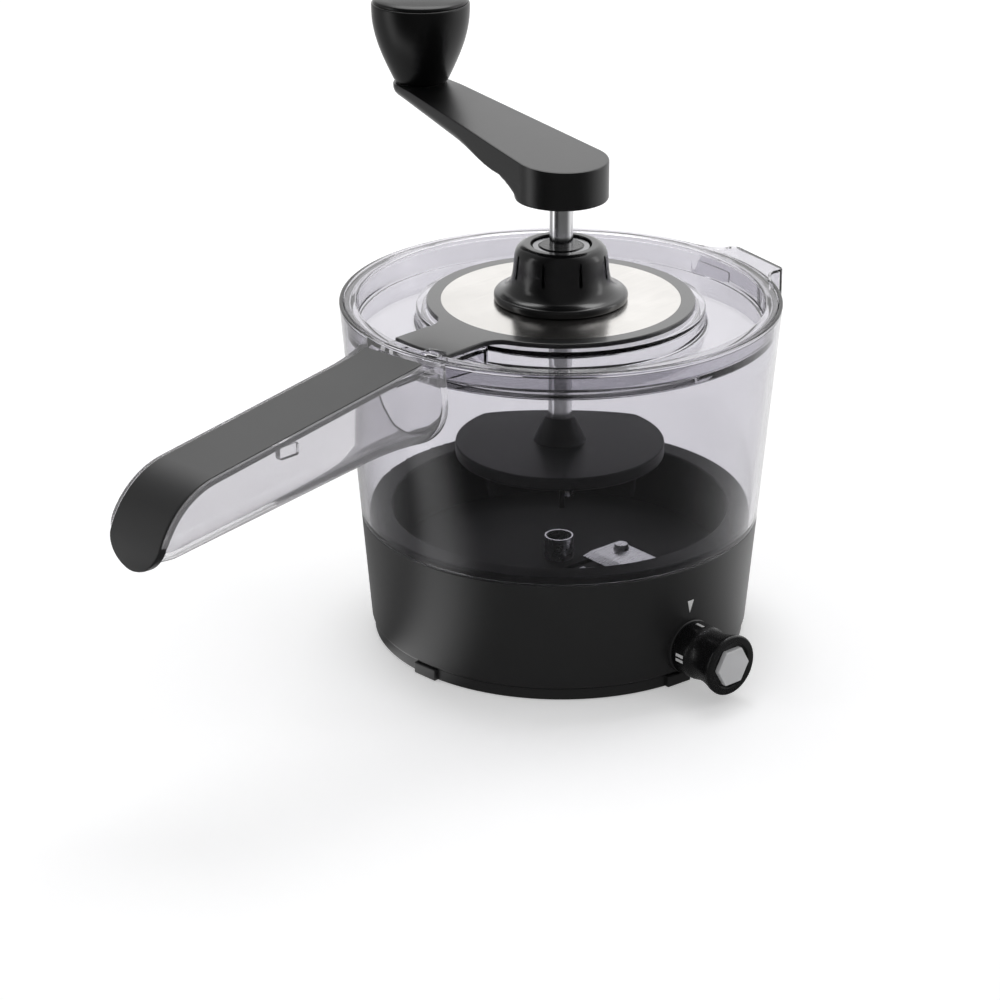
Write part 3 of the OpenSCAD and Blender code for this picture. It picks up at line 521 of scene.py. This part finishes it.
def buildClearBody():
    rim = container["rimZ"]
    seam = container["seamZ"]
    ledge = rim - container["lipDrop"]
    fade = container["seatFade"]
    wall = container["wall"]
    shell = turned("clear_body", [
        (shellR(seam), seam, 0.3), (container["rimR"], rim, 0.5), (container["lipR"], rim, 0.4),
        (container["lipR"], ledge, 0.3), (container["seatR"], ledge, 0.5),
        (container["seatR"], container["seatLow"]), (shellR(fade) - wall, fade),
        (shellR(seam) - wall, seam, 0.3)], steps=160)
    combine(shell, buildHandle(), "UNION")
    combine(shell, buildLug(), "UNION")
    dress(shell, clearPlastic, "housing", ("container", "handle_shell"))
    shell.data.materials.append(clearHandle)
    for face in shell.data.polygons:  # the trough outside the wall is paler
        spot = face.center / mm
        if spot.x < 0 and spot.z < 118 and spot.xy.length > shellR(spot.z) + 0.2:
            face.material_index = 1


buildClearBody()
print("clear body made")


# Soft strip on the handle, round at its tip
tipAngles = [*range(78, 21, -4), 19, 16, 13.5, 11, 9, 7.2, 5.6, 4.2, 3.0, 2.0, 1.2, 0.6, 0.2]


def stripRing(place, slope, half):
    # section across the strip: flat top with soft edges
    thick = strip["thick"]
    edge = min(strip["edge"], half * 0.5)
    side = [(-half, thick), (-half, edge), (-half + edge * 0.3, edge * 0.3), (-half + edge, 0.0)]
    section = side + [(-v, d) for v, d in side[::-1]]
    return [(-(place[0] - d * sin(slope)) * mm, v * mm, (place[1] - d * cos(slope)) * mm) for v, d in section]


def buildStrip(steps=8):
    slope = strip["slope"]
    rings = []
    for i in range(steps + 1):
        run = -strip["lead"] + (strip["length"] + strip["lead"]) * i / steps
        place = (strip["root"] + run * cos(slope), strip["rootZ"] - run * sin(slope))
        rings.append(stripRing(place, slope, strip["half"]))
    for a in tipAngles:
        rise = strip["curl"] * sin(radians(a))
        half = strip["half"]
        if rise < strip["tipR"]:
            half = min(half, sqrt(strip["tipR"] ** 2 - (strip["tipR"] - rise) ** 2))
        rings.append(stripRing(curlPoint(radians(a), 0), pi / 2 - radians(a), half))
    half = strip["half"] * mm  # the root's end is cut a little askew
    rings[0] = [(x - 0.12 * (y + half), y, z + 0.017 * (y + half)) for x, y, z in rings[0]]
    dress(lofted("soft_strip", rings), softCharcoal, "housing", ("handle_strip",), 40)


buildStrip()
print("strip made")


# Black base with the boss for the knob
selectorAxis = Vector((-0.0871557, -0.9961947, 0.0))
selectorTurn = selectorAxis.to_track_quat("Z", "X").to_matrix().to_4x4()
selectorFrame = Matrix.Translation((0, 0, 13.5 * mm)) @ selectorTurn
base = {"throat": 58.0, "foot": 4.0, "seam": 43.5, "spigot": 66.15, "top": 46.0, "bossR": 9.5, "bossIn": 61.0,
        "bossFace": 67.4, "boreR": 6.05, "boreIn": 50.0, "boreOut": 70.0, "dullZ": 43.6, "dullR": 59.0}
pointer = {"low": 26.3, "high": 31.0, "wide": 2.7, "shift": -0.9, "sunk": 0.8, "proud": 0.12, "edge": 0.08,
           "turn": radians(-5)}


def buildBase():
    throat = base["throat"]
    low = base["foot"]
    seam = base["seam"]
    made = turned("base_wall", [
        (throat, low, 0.4), (shellR(low), low, 1.4), (shellR(seam), seam, 0.45), (base["spigot"], seam),
        (base["spigot"], base["top"], 0.6), (throat, base["top"], 0.8)], steps=192)
    boss = [(0, base["bossIn"]), (base["bossR"], base["bossIn"]), (base["bossR"], base["bossFace"], 0.5),
            (0, base["bossFace"])]
    combine(made, turned("boss", boss, False, 64, selectorFrame), "UNION")
    bore = [(0, base["boreIn"]), (base["boreR"], base["boreIn"]), (base["boreR"], base["boreOut"]),
            (0, base["boreOut"])]
    combine(made, turned("bore", bore, False, 48, selectorFrame), "DIFFERENCE")
    dress(made, blackSatin, "housing", ("base",))
    made.data.materials.append(paintedShadeBlack)
    for face in made.data.polygons:  # the throat and the spigot over the seam get a darker, duller black: painted shade inside the base
        if face.center.z > base["dullZ"] * mm or face.center.xy.length < base["dullR"] * mm:
            face.material_index = 1


def buildPointer():
    half = pointer["wide"] / 2
    tall = pointer["high"] - pointer["low"]
    bm = bmesh.new()
    pullUp(bm, [(0, 0), (half, tall), (-half, tall)], -pointer["sunk"], pointer["proud"])
    bevelEdges(bm, [e for e in bm.edges if all(v.co.z > 0 for v in e.verts)], pointer["edge"], 2)
    upright = Matrix.Rotation(atan(container["taper"]), 4, "X") @ Matrix.Rotation(pi / 2, 4, "X")
    out = Matrix.Translation((pointer["shift"] * mm, -shellR(pointer["low"]) * mm, pointer["low"] * mm))
    place = Matrix.Rotation(pointer["turn"], 4, "Z") @ out @ upright
    bmesh.ops.transform(bm, matrix=place, verts=bm.verts)
    dress(toObject("pointer", bm), whiteInk, "housing", ("pointer_mark",))


# Foot ring with four lugs
foot = {"inner": 58.0, "outer": 64.5, "high": 4.0, "lugIn": 60.0, "lugOut": 65.9, "lugWide": 10.0,
        "lugEdge": 0.45, "lugTurns": (0, 82, 180, 262)}


def buildFoot():
    high = foot["high"]
    made = turned("foot", [(foot["inner"], 0, 0.3), (foot["outer"], 0, 0.5), (foot["outer"], high),
                           (foot["inner"], high)], steps=160)
    size = (foot["lugOut"] - foot["lugIn"], foot["lugWide"], high)
    centre = ((foot["lugOut"] + foot["lugIn"]) / 2, 0, high / 2)
    for turn in foot["lugTurns"]:
        combine(made, blockPiece("foot_lug", size, centre, foot["lugEdge"], turn), "UNION")
    dress(made, blackSatin, "housing", ("foot_ring",))


buildBase()
buildPointer()
buildFoot()
print("base made")


# Selector knob, flared towards its face
knob = {"root": 67.8, "face": 86.8, "rootR": 9.38, "waistR": 8.7, "faceR": 10.6, "boreR": 4.0, "dishR": 7.9,
        "dish": 0.7, "boreEnd": 4.0}
knobCap = {"across": 14.0, "low": 86.25, "top": 88.1, "edge": 0.35}


def buildKnob():
    root = knob["root"]
    face = knob["face"]
    waist = knob["waistR"]
    made = turned("knob", [
        (knob["boreR"], root), (knob["rootR"], root, 0.4), (knob["rootR"], root + 6.3, 0.8),
        (waist + 0.15, root + 8.2, 1.0), (waist, root + 10.5, 1.2), (waist + 0.55, root + 14.2, 2.0),
        (knob["faceR"] - 0.15, face - 1.7, 0.9), (knob["faceR"], face, 0.7), (knob["dishR"], face, 0.15),
        (knob["dishR"] - 0.2, face - knob["dish"]), (0, face - knob["dish"]), (0, face - knob["boreEnd"]),
        (knob["boreR"], face - knob["boreEnd"])], False, 96, selectorFrame)
    dress(made, deepBlack, "selector", ("selector_knob",))


def buildKnobCap():
    bm = bmesh.new()
    ring = bmesh.ops.create_circle(bm, cap_ends=True, segments=6, radius=knobCap["across"] / 2 * mm)["verts"]
    moved = pullFace(bm, ring[0].link_faces[0], (0, 0, knobCap["top"] - knobCap["low"]))
    bevelEdges(bm, [e for e in bm.edges if any(v in moved for v in e.verts)], knobCap["edge"], 3)
    bmesh.ops.translate(bm, verts=bm.verts, vec=(0, 0, knobCap["low"] * mm))
    bmesh.ops.transform(bm, matrix=selectorFrame, verts=bm.verts)
    dress(toObject("knob_cap", bm), paleGrey, "selector", ("selector_cap",))


buildKnob()
buildKnobCap()
print("knob made")


# Lid: clear dish with a raised centre and a bridge towards the handle
lid = {"boreR": 12.2, "flangeR": 73.3, "skirtR": 71.0, "plateauR": 49.0, "wall": 2.0, "low": 110.0,
       "deck": 117.97, "under": 115.8, "seat": 118.24, "top": 120.0}
lidBridge = {"size": (21.6, 26.4, 7.9), "centre": (-59.2, 0, 114.02)}
lidBridgeHollow = {"size": (20.0, 22.4, 12.0), "centre": (-59.0, 0, 109.8)}
lidTongue = {"size": (6.0, 7.0, 2.6), "centre": (-69.6, 0, 119.5), "edge": 0.9, "turn": 7.4}
lidPad = {"size": (1.6, 17.0, 5.0), "centre": (69.0, 0, 114.2), "edge": 0.4, "turn": -8.0}


def buildLid():
    low = lid["low"]
    dish = low + lid["wall"]
    skirtIn = lid["skirtR"] - lid["wall"]
    plateauIn = lid["plateauR"] - lid["wall"]
    made = turned("clear_lid", [
        (lid["boreR"], lid["under"]), (plateauIn, lid["under"], 1.0), (plateauIn, low, 0.5),
        (lid["skirtR"], low, 1.0), (lid["skirtR"], lid["seat"], 0.3), (lid["flangeR"], lid["seat"], 0.2),
        (lid["flangeR"], lid["top"], 0.4), (skirtIn, lid["top"], 0.8), (skirtIn, dish, 1.6),
        (lid["plateauR"], dish, 1.6), (lid["plateauR"], lid["deck"], 0.6), (lid["boreR"], lid["deck"])],
        steps=160)
    bridge = blockPiece("bridge", **lidBridge)
    combine(bridge, blockPiece("bridge_hollow", **lidBridgeHollow), "DIFFERENCE")
    combine(made, bridge, "UNION")
    combine(made, blockPiece("tongue", **lidTongue), "UNION")  # on the flange beside the bridge
    combine(made, blockPiece("pad", **lidPad), "UNION")  # inside the skirt, beside the rear lug
    dress(made, clearPlastic, "lid", ("lid_shell",))


# Charcoal ring and bridge on the lid
inlay = {"ringR": 45.5, "half": 12.0, "fillet": 8.0, "reach": 67.0, "holeR": 40.65, "low": 118.0,
         "top": 119.6, "edge": 0.45}


def inlayOutline():
    fillet = inlay["fillet"]
    half = inlay["half"]
    cy = half + fillet
    cx = sqrt((inlay["ringR"] + fillet) ** 2 - cy ** 2)
    tangent = atan(cy / cx)
    outline = []
    for i in range(97):  # round the ring, from one fillet to the other
        a = pi - tangent - (2 * pi - 2 * tangent) * i / 96
        outline.append((inlay["ringR"] * cos(a), inlay["ringR"] * sin(a)))
    for i in range(1, 13):
        a = tangent + (pi / 2 - tangent) * i / 12
        outline.append((-cx + fillet * cos(a), -cy + fillet * sin(a)))
    for i in range(13):  # the bridge ends on a round line
        y = -half + 2 * half * i / 12
        outline.append((-sqrt(inlay["reach"] ** 2 - y ** 2), y))
    for i in range(12):
        a = -pi / 2 + (pi / 2 - tangent) * i / 12
        outline.append((-cx + fillet * cos(a), cy + fillet * sin(a)))
    return outline


def buildInlay():
    bm = bmesh.new()
    pullUp(bm, inlayOutline(), inlay["low"], inlay["top"])
    top = [e for e in bm.edges if all(v.co.z > (inlay["top"] - 0.1) * mm for v in e.verts)]
    bevelEdges(bm, top, inlay["edge"], 3)
    made = toObject("lid_ring", bm)
    hole = [(0, 115), (inlay["holeR"], 115), (inlay["holeR"], 125), (0, 125)]
    combine(made, turned("hole", hole, False, 128), "DIFFERENCE")
    dress(made, inlayCharcoal, "lid", ("lid_inlay",))


buildLid()
buildInlay()
print("lid made")


# Collar that guides the crank
collar = {"profile": [(9.55, 110.8), (12, 110.8), (12, 119.6), (22.7, 119.6, 0.9), (22.7, 122.3, 0.9),
                      (20.4, 122.9, 1.2), (17.7, 124.7, 1.8), (16.35, 128.4, 2.5), (16.0, 133, 2.0),
                      (15.5, 137.2, 1.5), (13.4, 139, 1.1), (10.35, 139, 0.3), (10.35, 137), (9.55, 137)],
          "slits": 8, "slitLow": 128.2, "slitHigh": 136.4, "slitWide": 1.3, "slitIn": 14.5, "slitLong": 6.0,
          "slitEdge": 0.55}


def buildCollar():
    made = turned("collar", collar["profile"])
    size = (collar["slitLong"], collar["slitWide"], collar["slitHigh"] - collar["slitLow"])
    centre = (collar["slitIn"] + collar["slitLong"] / 2, 0, (collar["slitLow"] + collar["slitHigh"]) / 2)
    bm = bmesh.new()
    for i in range(collar["slits"]):
        slit = bmesh.new()
        block(slit, size, centre, collar["slitEdge"])
        addTurned(bm, slit, 2 * pi / collar["slits"] * (i + 0.5))
    combine(made, toObject("slits", bm), "DIFFERENCE")
    dress(made, collarBlack, "lid", ("guide_collar",))


buildCollar()
print("collar made")


# Crank arm with its hub
armAngle = radians(76)
arm = {"hubR": 15.8, "low": 155.0, "top": 169.0, "rise": 4.0, "under": 161.0, "underFrom": 20.0,
       "endThick": 5.0, "endR": 10.0, "length": 93.0, "trumpet": 13.0, "trumpetLow": 155.6,
       "trumpetHigh": 162.0, "edge": 0.6, "belly": 3.4, "bellyFrom": 24.0, "bellyRun": 26.0, "sideGap": 0.03}
armLean = asin((arm["hubR"] - arm["endR"]) / arm["length"])
armStart = arm["hubR"] * sin(armLean)
hubSteps = ((0.0, 0.6), (0.18, 0.18), (0.6, 0.0), (1.6, 0.0), (2.6, 0.0), (3.6, 0.0), (4.5, 0.0), (5.3, 0.0),
            (5.9, 0.0), (6.4, 0.0), (6.75, 0.0), (7.0, 0.0))  # height over the hub's foot, inset


def share(value):
    return min(1.0, max(0.0, value))


def armTop(u):
    return arm["top"] + arm["rise"] * min(1.0, u / (arm["length"] - arm["endR"]))


def armUnder(u):
    endLow = arm["top"] + arm["rise"] - arm["endThick"]
    along = share((u - arm["underFrom"]) / (arm["length"] - arm["underFrom"]))
    return arm["under"] + (endLow - arm["under"]) * along


def hubReach(angle, z):
    # hollow corner under the arm, kept between the arm's sides
    if abs(angle) >= pi / 2 - armLean:
        return arm["hubR"]
    climb = share((z - arm["trumpetLow"]) / (arm["trumpetHigh"] - arm["trumpetLow"]))
    reach = arm["hubR"] + arm["trumpet"] * (1 - sqrt(1 - climb ** 2))
    for side in (-1, 1):
        facing = cos(angle - side * (pi / 2 - armLean))
        if facing > 0.05:
            reach = min(reach, (arm["hubR"] - arm["sideGap"]) / facing)
    return reach


def hubRings(count=120):
    rings = []
    turns = [-pi + 2 * pi * i / count for i in range(count)]
    for climb, inset in hubSteps:
        z = arm["low"] + climb
        reaches = [hubReach(a, z) - inset for a in turns]
        rings.append([(r * cos(a) * mm, r * sin(a) * mm, z * mm) for a, r in zip(turns, reaches)])
    for drop, inset in ((4.0, 0.0), (0.6, 0.0), (0.18, 0.18), (0.0, 0.6)):
        r = arm["hubR"] - inset  # only the front half goes to the top
        places = [(min(r * cos(a), armStart), r * sin(a)) for a in turns]
        rings.append([(u * mm, v * mm, (armTop(u) - drop) * mm) for u, v in places])
    return rings


def barRing(u, half):
    top = armTop(u)
    low = armUnder(u)
    e = min(arm["edge"], half * 0.5)
    fade = share((u - arm["bellyFrom"]) / arm["bellyRun"])
    b = min(0.5 + arm["belly"] * fade * fade * (3 - 2 * fade), half * 0.7)
    bend = [radians(a) for a in (90, 70, 50, 30, 14, 0)]
    side = [(-half + b * (1 - cos(a)), low + b * (1 - sin(a))) for a in bend]
    side += [(-half, top - e), (-half + e * 0.3, top - e * 0.3), (-half + e, top)]
    section = side + [(-v, z) for v, z in side[::-1]]
    return [(u * mm, v * mm, z * mm) for v, z in section]


def barRings():
    rings = []
    end = arm["length"] + arm["endR"] * sin(armLean)
    for i in range(19):
        u = armStart + (end - armStart) * i / 18
        rings.append(barRing(u, (arm["hubR"] - u * sin(armLean)) / cos(armLean)))
    for i in range(1, 15):  # round end under the grip
        a = armLean + (radians(88.5) - armLean) * i / 14
        rings.append(barRing(arm["length"] + arm["endR"] * sin(a), arm["endR"] * cos(a)))
    return rings


def buildArm():
    bm = bmesh.new()
    loft(bm, hubRings())
    loft(bm, barRings())
    bmesh.ops.rotate(bm, verts=bm.verts, cent=(0, 0, 0), matrix=Matrix.Rotation(armAngle, 3, "Z"))
    dress(toObject("crank", bm), armBlack, "crank", ("crank_arm", "arm_pin"), 40)


buildArm()
print("crank arm made")


# Grip: convex goblet on its spindle, with a domed cap
grip = {"baseR": 9.6, "topR": 17.38, "low": 173.4, "top": 201.9, "boreR": 3.05, "headR": 5.4,
        "headLow": 195.5, "capR": 16.7, "capLow": 201.92, "capTop": 205.1}
gripPlace = Matrix.Translation((arm["length"] * cos(armAngle) * mm, arm["length"] * sin(armAngle) * mm, 0))


def buildGrip():
    low = grip["low"]
    top = grip["top"]
    swell = grip["topR"] - grip["baseR"]
    flare = top - low - 3
    side = [(grip["baseR"] + swell * sin(radians(a)), low + 0.6 + flare * a / 90) for a in range(2, 91, 4)]
    inside = [(grip["headR"], top), (grip["headR"], grip["headLow"]), (grip["boreR"], grip["headLow"])]
    outside = [(grip["boreR"], low), (grip["baseR"] - 0.5, low, 0.3)] + side + [(grip["topR"], top, 0.7)]
    made = turned("grip_body", outside + inside, True, 96, gripPlace)
    dress(made, glossBlack, "grip", ("grip_knob",))


def buildGripCap():
    low = grip["capLow"]
    made = turned("grip_top", [
        (0, low), (grip["capR"], low, 0.2), (grip["capR"], low + 0.9, 0.5), (15.2, low + 1.7, 0.8),
        (11.5, low + 2.5, 2), (6, low + 3.05, 2), (0, grip["capTop"])], False, 96, gripPlace)
    dress(made, glossBlack, "grip", ("grip_cap",))


buildGrip()
buildGripCap()
print("grip made")


# Food holder: disc with a conical hub, fins and spikes
holder = {"discR": 36.0, "low": 64.0, "top": 68.6, "hubTop": 77.6, "hubR": 9.0, "hubTopR": 5.2, "boreR": 4.01,
          "floor": 1.5, "fins": 8, "finOut": 35.2, "finLong": 10.0, "finLean": 1.4, "finDrop": 7.0,
          "finHalf": 0.9, "finEdge": 0.25, "spikes": 6, "spikeR": 12.96, "spikeDrop": 11.0, "spikeTip": 0.3,
          "spikeRoot": 2.0}


def buildHolder():
    low = holder["low"]
    top = holder["top"]
    bm = bmesh.new()
    lathe(bm, [(0, low), (holder["discR"], low, 0.7), (holder["discR"], top, 0.6),
               (holder["hubR"], top, 0.15), (holder["hubR"] - 0.3, top + 0.5, 0.15),
               (holder["hubTopR"], holder["hubTop"], 0.4),
               (holder["boreR"], holder["hubTop"]), (holder["boreR"], low + holder["floor"]),
               (0, low + holder["floor"])], False)
    out = -holder["finOut"]
    finOutline = [(out + holder["finLong"], low + 0.5), (out, low + 0.5),
                  (out + holder["finLean"], low - holder["finDrop"])]
    for i in range(holder["fins"]):
        fin = bmesh.new()
        sidePlate(fin, finOutline, holder["finHalf"])
        bevelEdges(fin, fin.edges[:], holder["finEdge"], 2)
        addTurned(bm, fin, 2 * pi / holder["fins"] * i)
    middle = low - holder["spikeDrop"] / 2 + 0.2
    deep = holder["spikeDrop"] + 0.4
    for i in range(holder["spikes"]):
        turn = Matrix.Rotation(2 * pi / holder["spikes"] * i, 4, "Z")
        place = turn @ Matrix.Translation((holder["spikeR"] * mm, 0, middle * mm))
        bmesh.ops.create_cone(bm, cap_ends=True, segments=20, radius1=holder["spikeTip"] * mm,
                              radius2=holder["spikeRoot"] * mm, depth=deep * mm, matrix=place)
    dress(toObject("holder", bm), matteBlack, "crank", ("food_holder",))


buildHolder()
print("food holder made")


# Carried-over pieces take their finish
finishes = {
    # the parts inside the base take the darker black: painted shade
    paintedShadeBlack: ["plate_seat", "cutting_plate", "cutter_drum"],
    deepBlack: ["collar_nut", "guide_sleeve"],
    softCharcoal: ["shaft_ring"],
    brushedDisc: ["lid_disc"],
    clipSteel: ["sleeve_clip"],
    polishedSteel: ["collar_bush", "crank_shaft", "grip_spindle", "holder_pin"],
    bladeSteel: ["main_blade", "blade_screws", "plate_screws", "core_tube", "drum_clip", "comb_12mm",
                 "comb_6mm", "comb_3mm", "comb_2mm"],
    whiteInk: ["selector_marks"],
    bushPlastic: ["hub_bush", "drum_bush"],
}
for finish, names in finishes.items():
    for name in names:
        nodes[name].data.materials.clear()
        nodes[name].data.materials.append(finish)
print("finishes set")


# Camera as in the photograph
camera = {"place": (-0.7369, -0.6968, 0.4759), "forward": (0.656, 0.646, -0.391), "lens": 114.14,
          "sensor": 36.0, "near": 0.05, "far": 50.0}
cam = bpy.data.objects.new("camera", bpy.data.cameras.new("camera"))
scene.collection.objects.link(cam)
cam.location = camera["place"]
cam.rotation_euler = Vector(camera["forward"]).to_track_quat("-Z", "Y").to_euler()
cam.data.lens = camera["lens"]
cam.data.sensor_width = camera["sensor"]
cam.data.sensor_fit = "HORIZONTAL"
cam.data.clip_start = camera["near"]
cam.data.clip_end = camera["far"]
scene.camera = cam


# Floor and studio
floorLook = {"size": 8.0, "gap": 0.0002, "colour": (0.88, 0.88, 0.885, 1), "lift": 0.34, "through": 0.4,
             "front": 0.13, "back": 0.95, "leftDim": 0.42, "card": 1.3, "cardNear": 0.58, "cardFar": 0.1}
studio = {"ambient": 0.5, "front": 0.16, "back": 1.35, "leftDim": 0.3, "sentDim": 0.7,
          "backWay": (0.7125, 0.7017, 0.0), "rightWay": (0.7017, -0.7125, 0.0)}
softboxes = {  # places are right of, behind and above the object, as the camera sees it
    "leftBox": {"place": (-1.5, -0.2, 0.55), "aim": 0.12, "size": (0.3, 1.0), "power": 1.5},
    "rightBox": {"place": (1.5, 0.2, 0.5), "aim": 0.12, "size": (0.3, 1.0), "power": 1.5},
    "topBox": {"place": (0.0, 0.7, 1.5), "aim": 0.1, "size": (1.2, 0.7), "power": 10.0},
}


def vectorMaths(tree, operation, first, second=None, out="Vector"):
    sockets = {0: first} if second is None else {0: first, 1: second}
    return tree.add("ShaderNodeVectorMath", {"operation": operation}, sockets, out)


def easeRange(tree, value, start, end, low, high):
    return tree.add("ShaderNodeMapRange", {"interpolation_type": "SMOOTHSTEP"}, {
        "Value": value, "From Min": start, "From Max": end, "To Min": low, "To Max": high})


def seenThrough(tree):
    # rays that passed the clear plastic, less those that a shiny piece sent there
    sent = tree.maths("GREATER_THAN", lightPath(tree, "Glossy Depth"), 0.5)
    return lightPath(tree, "Is Transmission Ray") * (1 - studio["sentDim"] * sent)


def glossLevel(tree, spot, look, card, cardTurn):
    # dark towards the camera's side, white behind, dimmer at the left apart from a bright card there
    level = vectorMaths(tree, "NORMALIZE", vectorMaths(tree, "MULTIPLY", spot, (1.0, 1.0, 0.0)))
    toBack = vectorMaths(tree, "DOT_PRODUCT", level, studio["backWay"], "Value")
    toRight = vectorMaths(tree, "DOT_PRODUCT", level, studio["rightWay"], "Value")
    deep = easeRange(tree, toBack, -0.7, 0.25, look["front"], look["back"])
    side = easeRange(tree, toRight, -0.8, -0.2, look["leftDim"], 1.0)
    glow = easeRange(tree, tree.maths("ABSOLUTE", toBack + cardTurn, 0.0), 0.03, 0.3, card, 0.0)
    return deep * side + glow * tree.maths("LESS_THAN", toRight, 0.0)


def buildFloor():
    bm = bmesh.new()
    bmesh.ops.create_grid(bm, x_segments=1, y_segments=1, size=floorLook["size"] / 2)
    bmesh.ops.translate(bm, verts=bm.verts, vec=(0, 0, -floorLook["gap"]))
    floor = toObject("floor", bm)
    material, tree = startMaterial("paleFloor")
    through = seenThrough(tree)
    lift = lightPath(tree, "Is Camera Ray") * floorLook["lift"] + through * floorLook["through"]
    shader = tree.add("ShaderNodeBsdfPrincipled", None, {
        "Base Color": floorLook["colour"], "Roughness": 0.8, "Specular IOR Level": 0.1,
        "Emission Color": grey(1.0), "Emission Strength": lift})
    spot = objectSpot(tree)
    far = vectorMaths(tree, "LENGTH", spot, None, "Value")
    cardTurn = easeRange(tree, far, 0.1, 0.35, floorLook["cardNear"], floorLook["cardFar"])
    mirrored = tree.add("ShaderNodeEmission", None, {
        "Color": grey(1.0), "Strength": glossLevel(tree, spot, floorLook, floorLook["card"], cardTurn)})
    gloss = lightPath(tree, "Is Glossy Ray") * (1 - through)
    endMaterial(tree, tree.add("ShaderNodeMixShader", None, {0: gloss, 1: shader, 2: mirrored}))
    floor.data.materials.append(material)


def buildWorld():
    world = bpy.data.worlds.new("studio")
    world.use_nodes = True
    world.node_tree.nodes.clear()
    tree = Shade(world.node_tree)
    spot = tree.add("ShaderNodeTexCoord", None, None, "Generated")
    gloss = lightPath(tree, "Is Glossy Ray")
    plain = tree.maths("MAXIMUM", lightPath(tree, "Is Camera Ray"), seenThrough(tree))
    other = gloss * glossLevel(tree, spot, studio, 0.0, 0.0) + (1 - gloss) * studio["ambient"]
    total = plain + (1 - plain) * other
    sky = tree.add("ShaderNodeBackground", None, {"Color": grey(1.0), "Strength": total})
    tree.add("ShaderNodeOutputWorld", None, {"Surface": sky})
    scene.world = world


def addSoftbox(name, box):
    side, depth, height = box["place"]
    place = Vector(studio["rightWay"]) * side + Vector(studio["backWay"]) * depth + Vector((0, 0, height))
    lamp = bpy.data.lights.new(name, "AREA")
    lamp.shape = "RECTANGLE"
    lamp.size = box["size"][0]
    lamp.size_y = box["size"][1]
    lamp.energy = box["power"]
    made = bpy.data.objects.new(name, lamp)
    scene.collection.objects.link(made)
    made.location = place
    made.rotation_euler = (Vector((0, 0, box["aim"])) - place).to_track_quat("-Z", "Y").to_euler()


buildFloor()
buildWorld()
for name, box in softboxes.items():
    addSoftbox(name, box)
scene.view_settings.view_transform = "Standard"
print("stage set")
